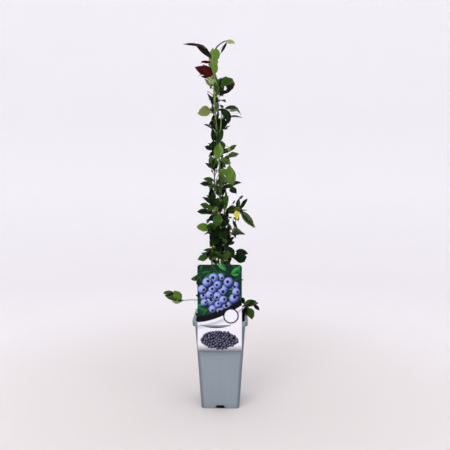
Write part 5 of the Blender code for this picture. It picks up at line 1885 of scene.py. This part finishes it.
    def build_ribs(self) -> None:
        """Makes the ribs of the green, the deep green and the red leaves, and the buds beside their stalks."""
        for shade, tones, main, vein, slot in (
            ("green", (M, F, O, P, G, Y), "#6d8a42", "#8ea55c", "leaf"),
            # painted shade: the deep leaves' ribs are darkened with them, and the night leaves share the dark red ribs
            ("deep", (D,), "#2c4a1c", "#44662e", "leaf"),
            ("red", (R, N), "#5a2418", "#74402c", "young_red_leaf"),
        ):
            ribs = self.shape.ribs([one for one in self.placed if one.tone in tones])
            rib = YoungBark("leaf_rib_" + shade, main, vein, vein, main).material()
            new_piece("leaf_ribs_" + shade, ribs, [rib], crease=80)
        scales = YoungBark("bud_scales", "#5b4a22", "#8a6a3a", "#8f8444", "#4d3a22").material()
        new_piece("leaf_buds", self.buds(), [scales], crease=80)

    def build(self) -> None:
        """Grows the bush, then makes and dresses its wood, leaves, ribs and buds."""
        self.grow()
        self.build_wood()
        self.build_leaves()
        self.build_ribs()


# -------- the studio


@dataclass
class Studio:
    """A pale round cove under soft light, and the camera at the photograph's angle."""

    floor_radius: float = 1.7
    cove_radius: float = 1.1
    wall_top: float = 3.6
    around: int = 96
    bush_middle: tuple[float, float, float] = (0.0, 0.0, 0.42)
    lamp_colour: tuple[float, float, float] = (1.0, 0.985, 0.97)
    sky: str = "#fbfafc"
    sky_strength: float = 1.08
    camera_place: tuple[float, float, float] = (0.0249, -1.09, 0.515)
    camera_down: float = 4.2
    camera_turn: float = 0.76
    sensor: float = 36.0
    lens: float = 36 * 453 / 450

    def floor(self) -> None:
        """The floor and its wall as one surface: a flat disc, a quarter circle and an upright, turned round z."""
        bend = np.linspace(0, math.pi / 2, 24)
        outer = self.floor_radius + self.cove_radius
        reach = np.array([0.0, 0.6, 1.2, *(self.floor_radius + self.cove_radius * np.sin(bend)), outer])
        height = np.array([0.0, 0.0, 0.0, *(self.cove_radius * (1 - np.cos(bend))), self.wall_top])
        angle = round_angles(self.around)
        flat = [reach[:, None] * np.cos(angle), reach[:, None] * np.sin(angle)]
        points = np.stack([*flat, np.broadcast_to(height[:, None], flat[0].shape)], -1)
        faces = tube_quads(1, len(reach), self.around)
        mesh = bpy.data.meshes.new("studio_floor")
        mesh.from_pydata(points.reshape(-1, 3).tolist(), [], faces[:, ::-1].tolist())
        mesh.validate()
        mesh.shade_smooth()
        mesh.materials.append(StudioPaper("studio_paper").material())
        floor = add_object("studio_floor", mesh)

    def light(self, name: str, place: tuple[float, float, float], size: float, watts: float) -> None:
        """Hangs one square soft light that faces the bush.

        Args:
            name: Its name.
            place: Where it hangs.
            size: Its side.
            watts: Its power.
        """
        lamp = bpy.data.lights.new(name, "AREA")
        lamp.size, lamp.energy, lamp.color = size, watts, self.lamp_colour
        held = add_object(name, lamp)
        x, y, z = away = np.array(place) - np.array(self.bush_middle)
        held.location = place
        held.rotation_euler = (math.acos(z / np.linalg.norm(away)), 0, math.atan2(y, x) + math.pi / 2)
        held.visible_camera = False

    def build(self) -> None:
        """Sets up floor, lights, sky and camera."""
        scene = bpy.context.scene
        scene.view_settings.view_transform = "Standard"
        self.floor()
        self.light("key_softbox", (-0.9, -1.7, 2.3), 1.2, 15.0)
        self.light("fill_softbox", (1.5, -1.2, 1.5), 1.6, 4.0)
        sky = bpy.data.worlds.new("studio_sky")
        sky.use_nodes = True
        fill(sky.node_tree.nodes["Background"], {"Color": linear(self.sky), "Strength": self.sky_strength})
        scene.world = sky
        camera = bpy.data.cameras.new("camera")
        camera.sensor_width, camera.lens = self.sensor, self.lens
        held = add_object("camera", camera)
        held.location = self.camera_place
        held.rotation_euler = (math.radians(90 - self.camera_down), 0, math.radians(self.camera_turn))
        scene.camera = held


def write_sizes() -> None:
    """Brings the view layer up to date.
    """
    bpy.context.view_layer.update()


def main() -> None:
    """Builds the pot, the soil, the label, the bush and the studio in order."""
    logging.basicConfig(level=logging.INFO, format="%(message)s")
    pot = NurseryPot()
    pot.build()
    SoilFill(pot).build()
    PictureLabel(pot).build()
    Bush().build()
    Studio().build()
    write_sizes()


if __name__ == "__main__":
    main()
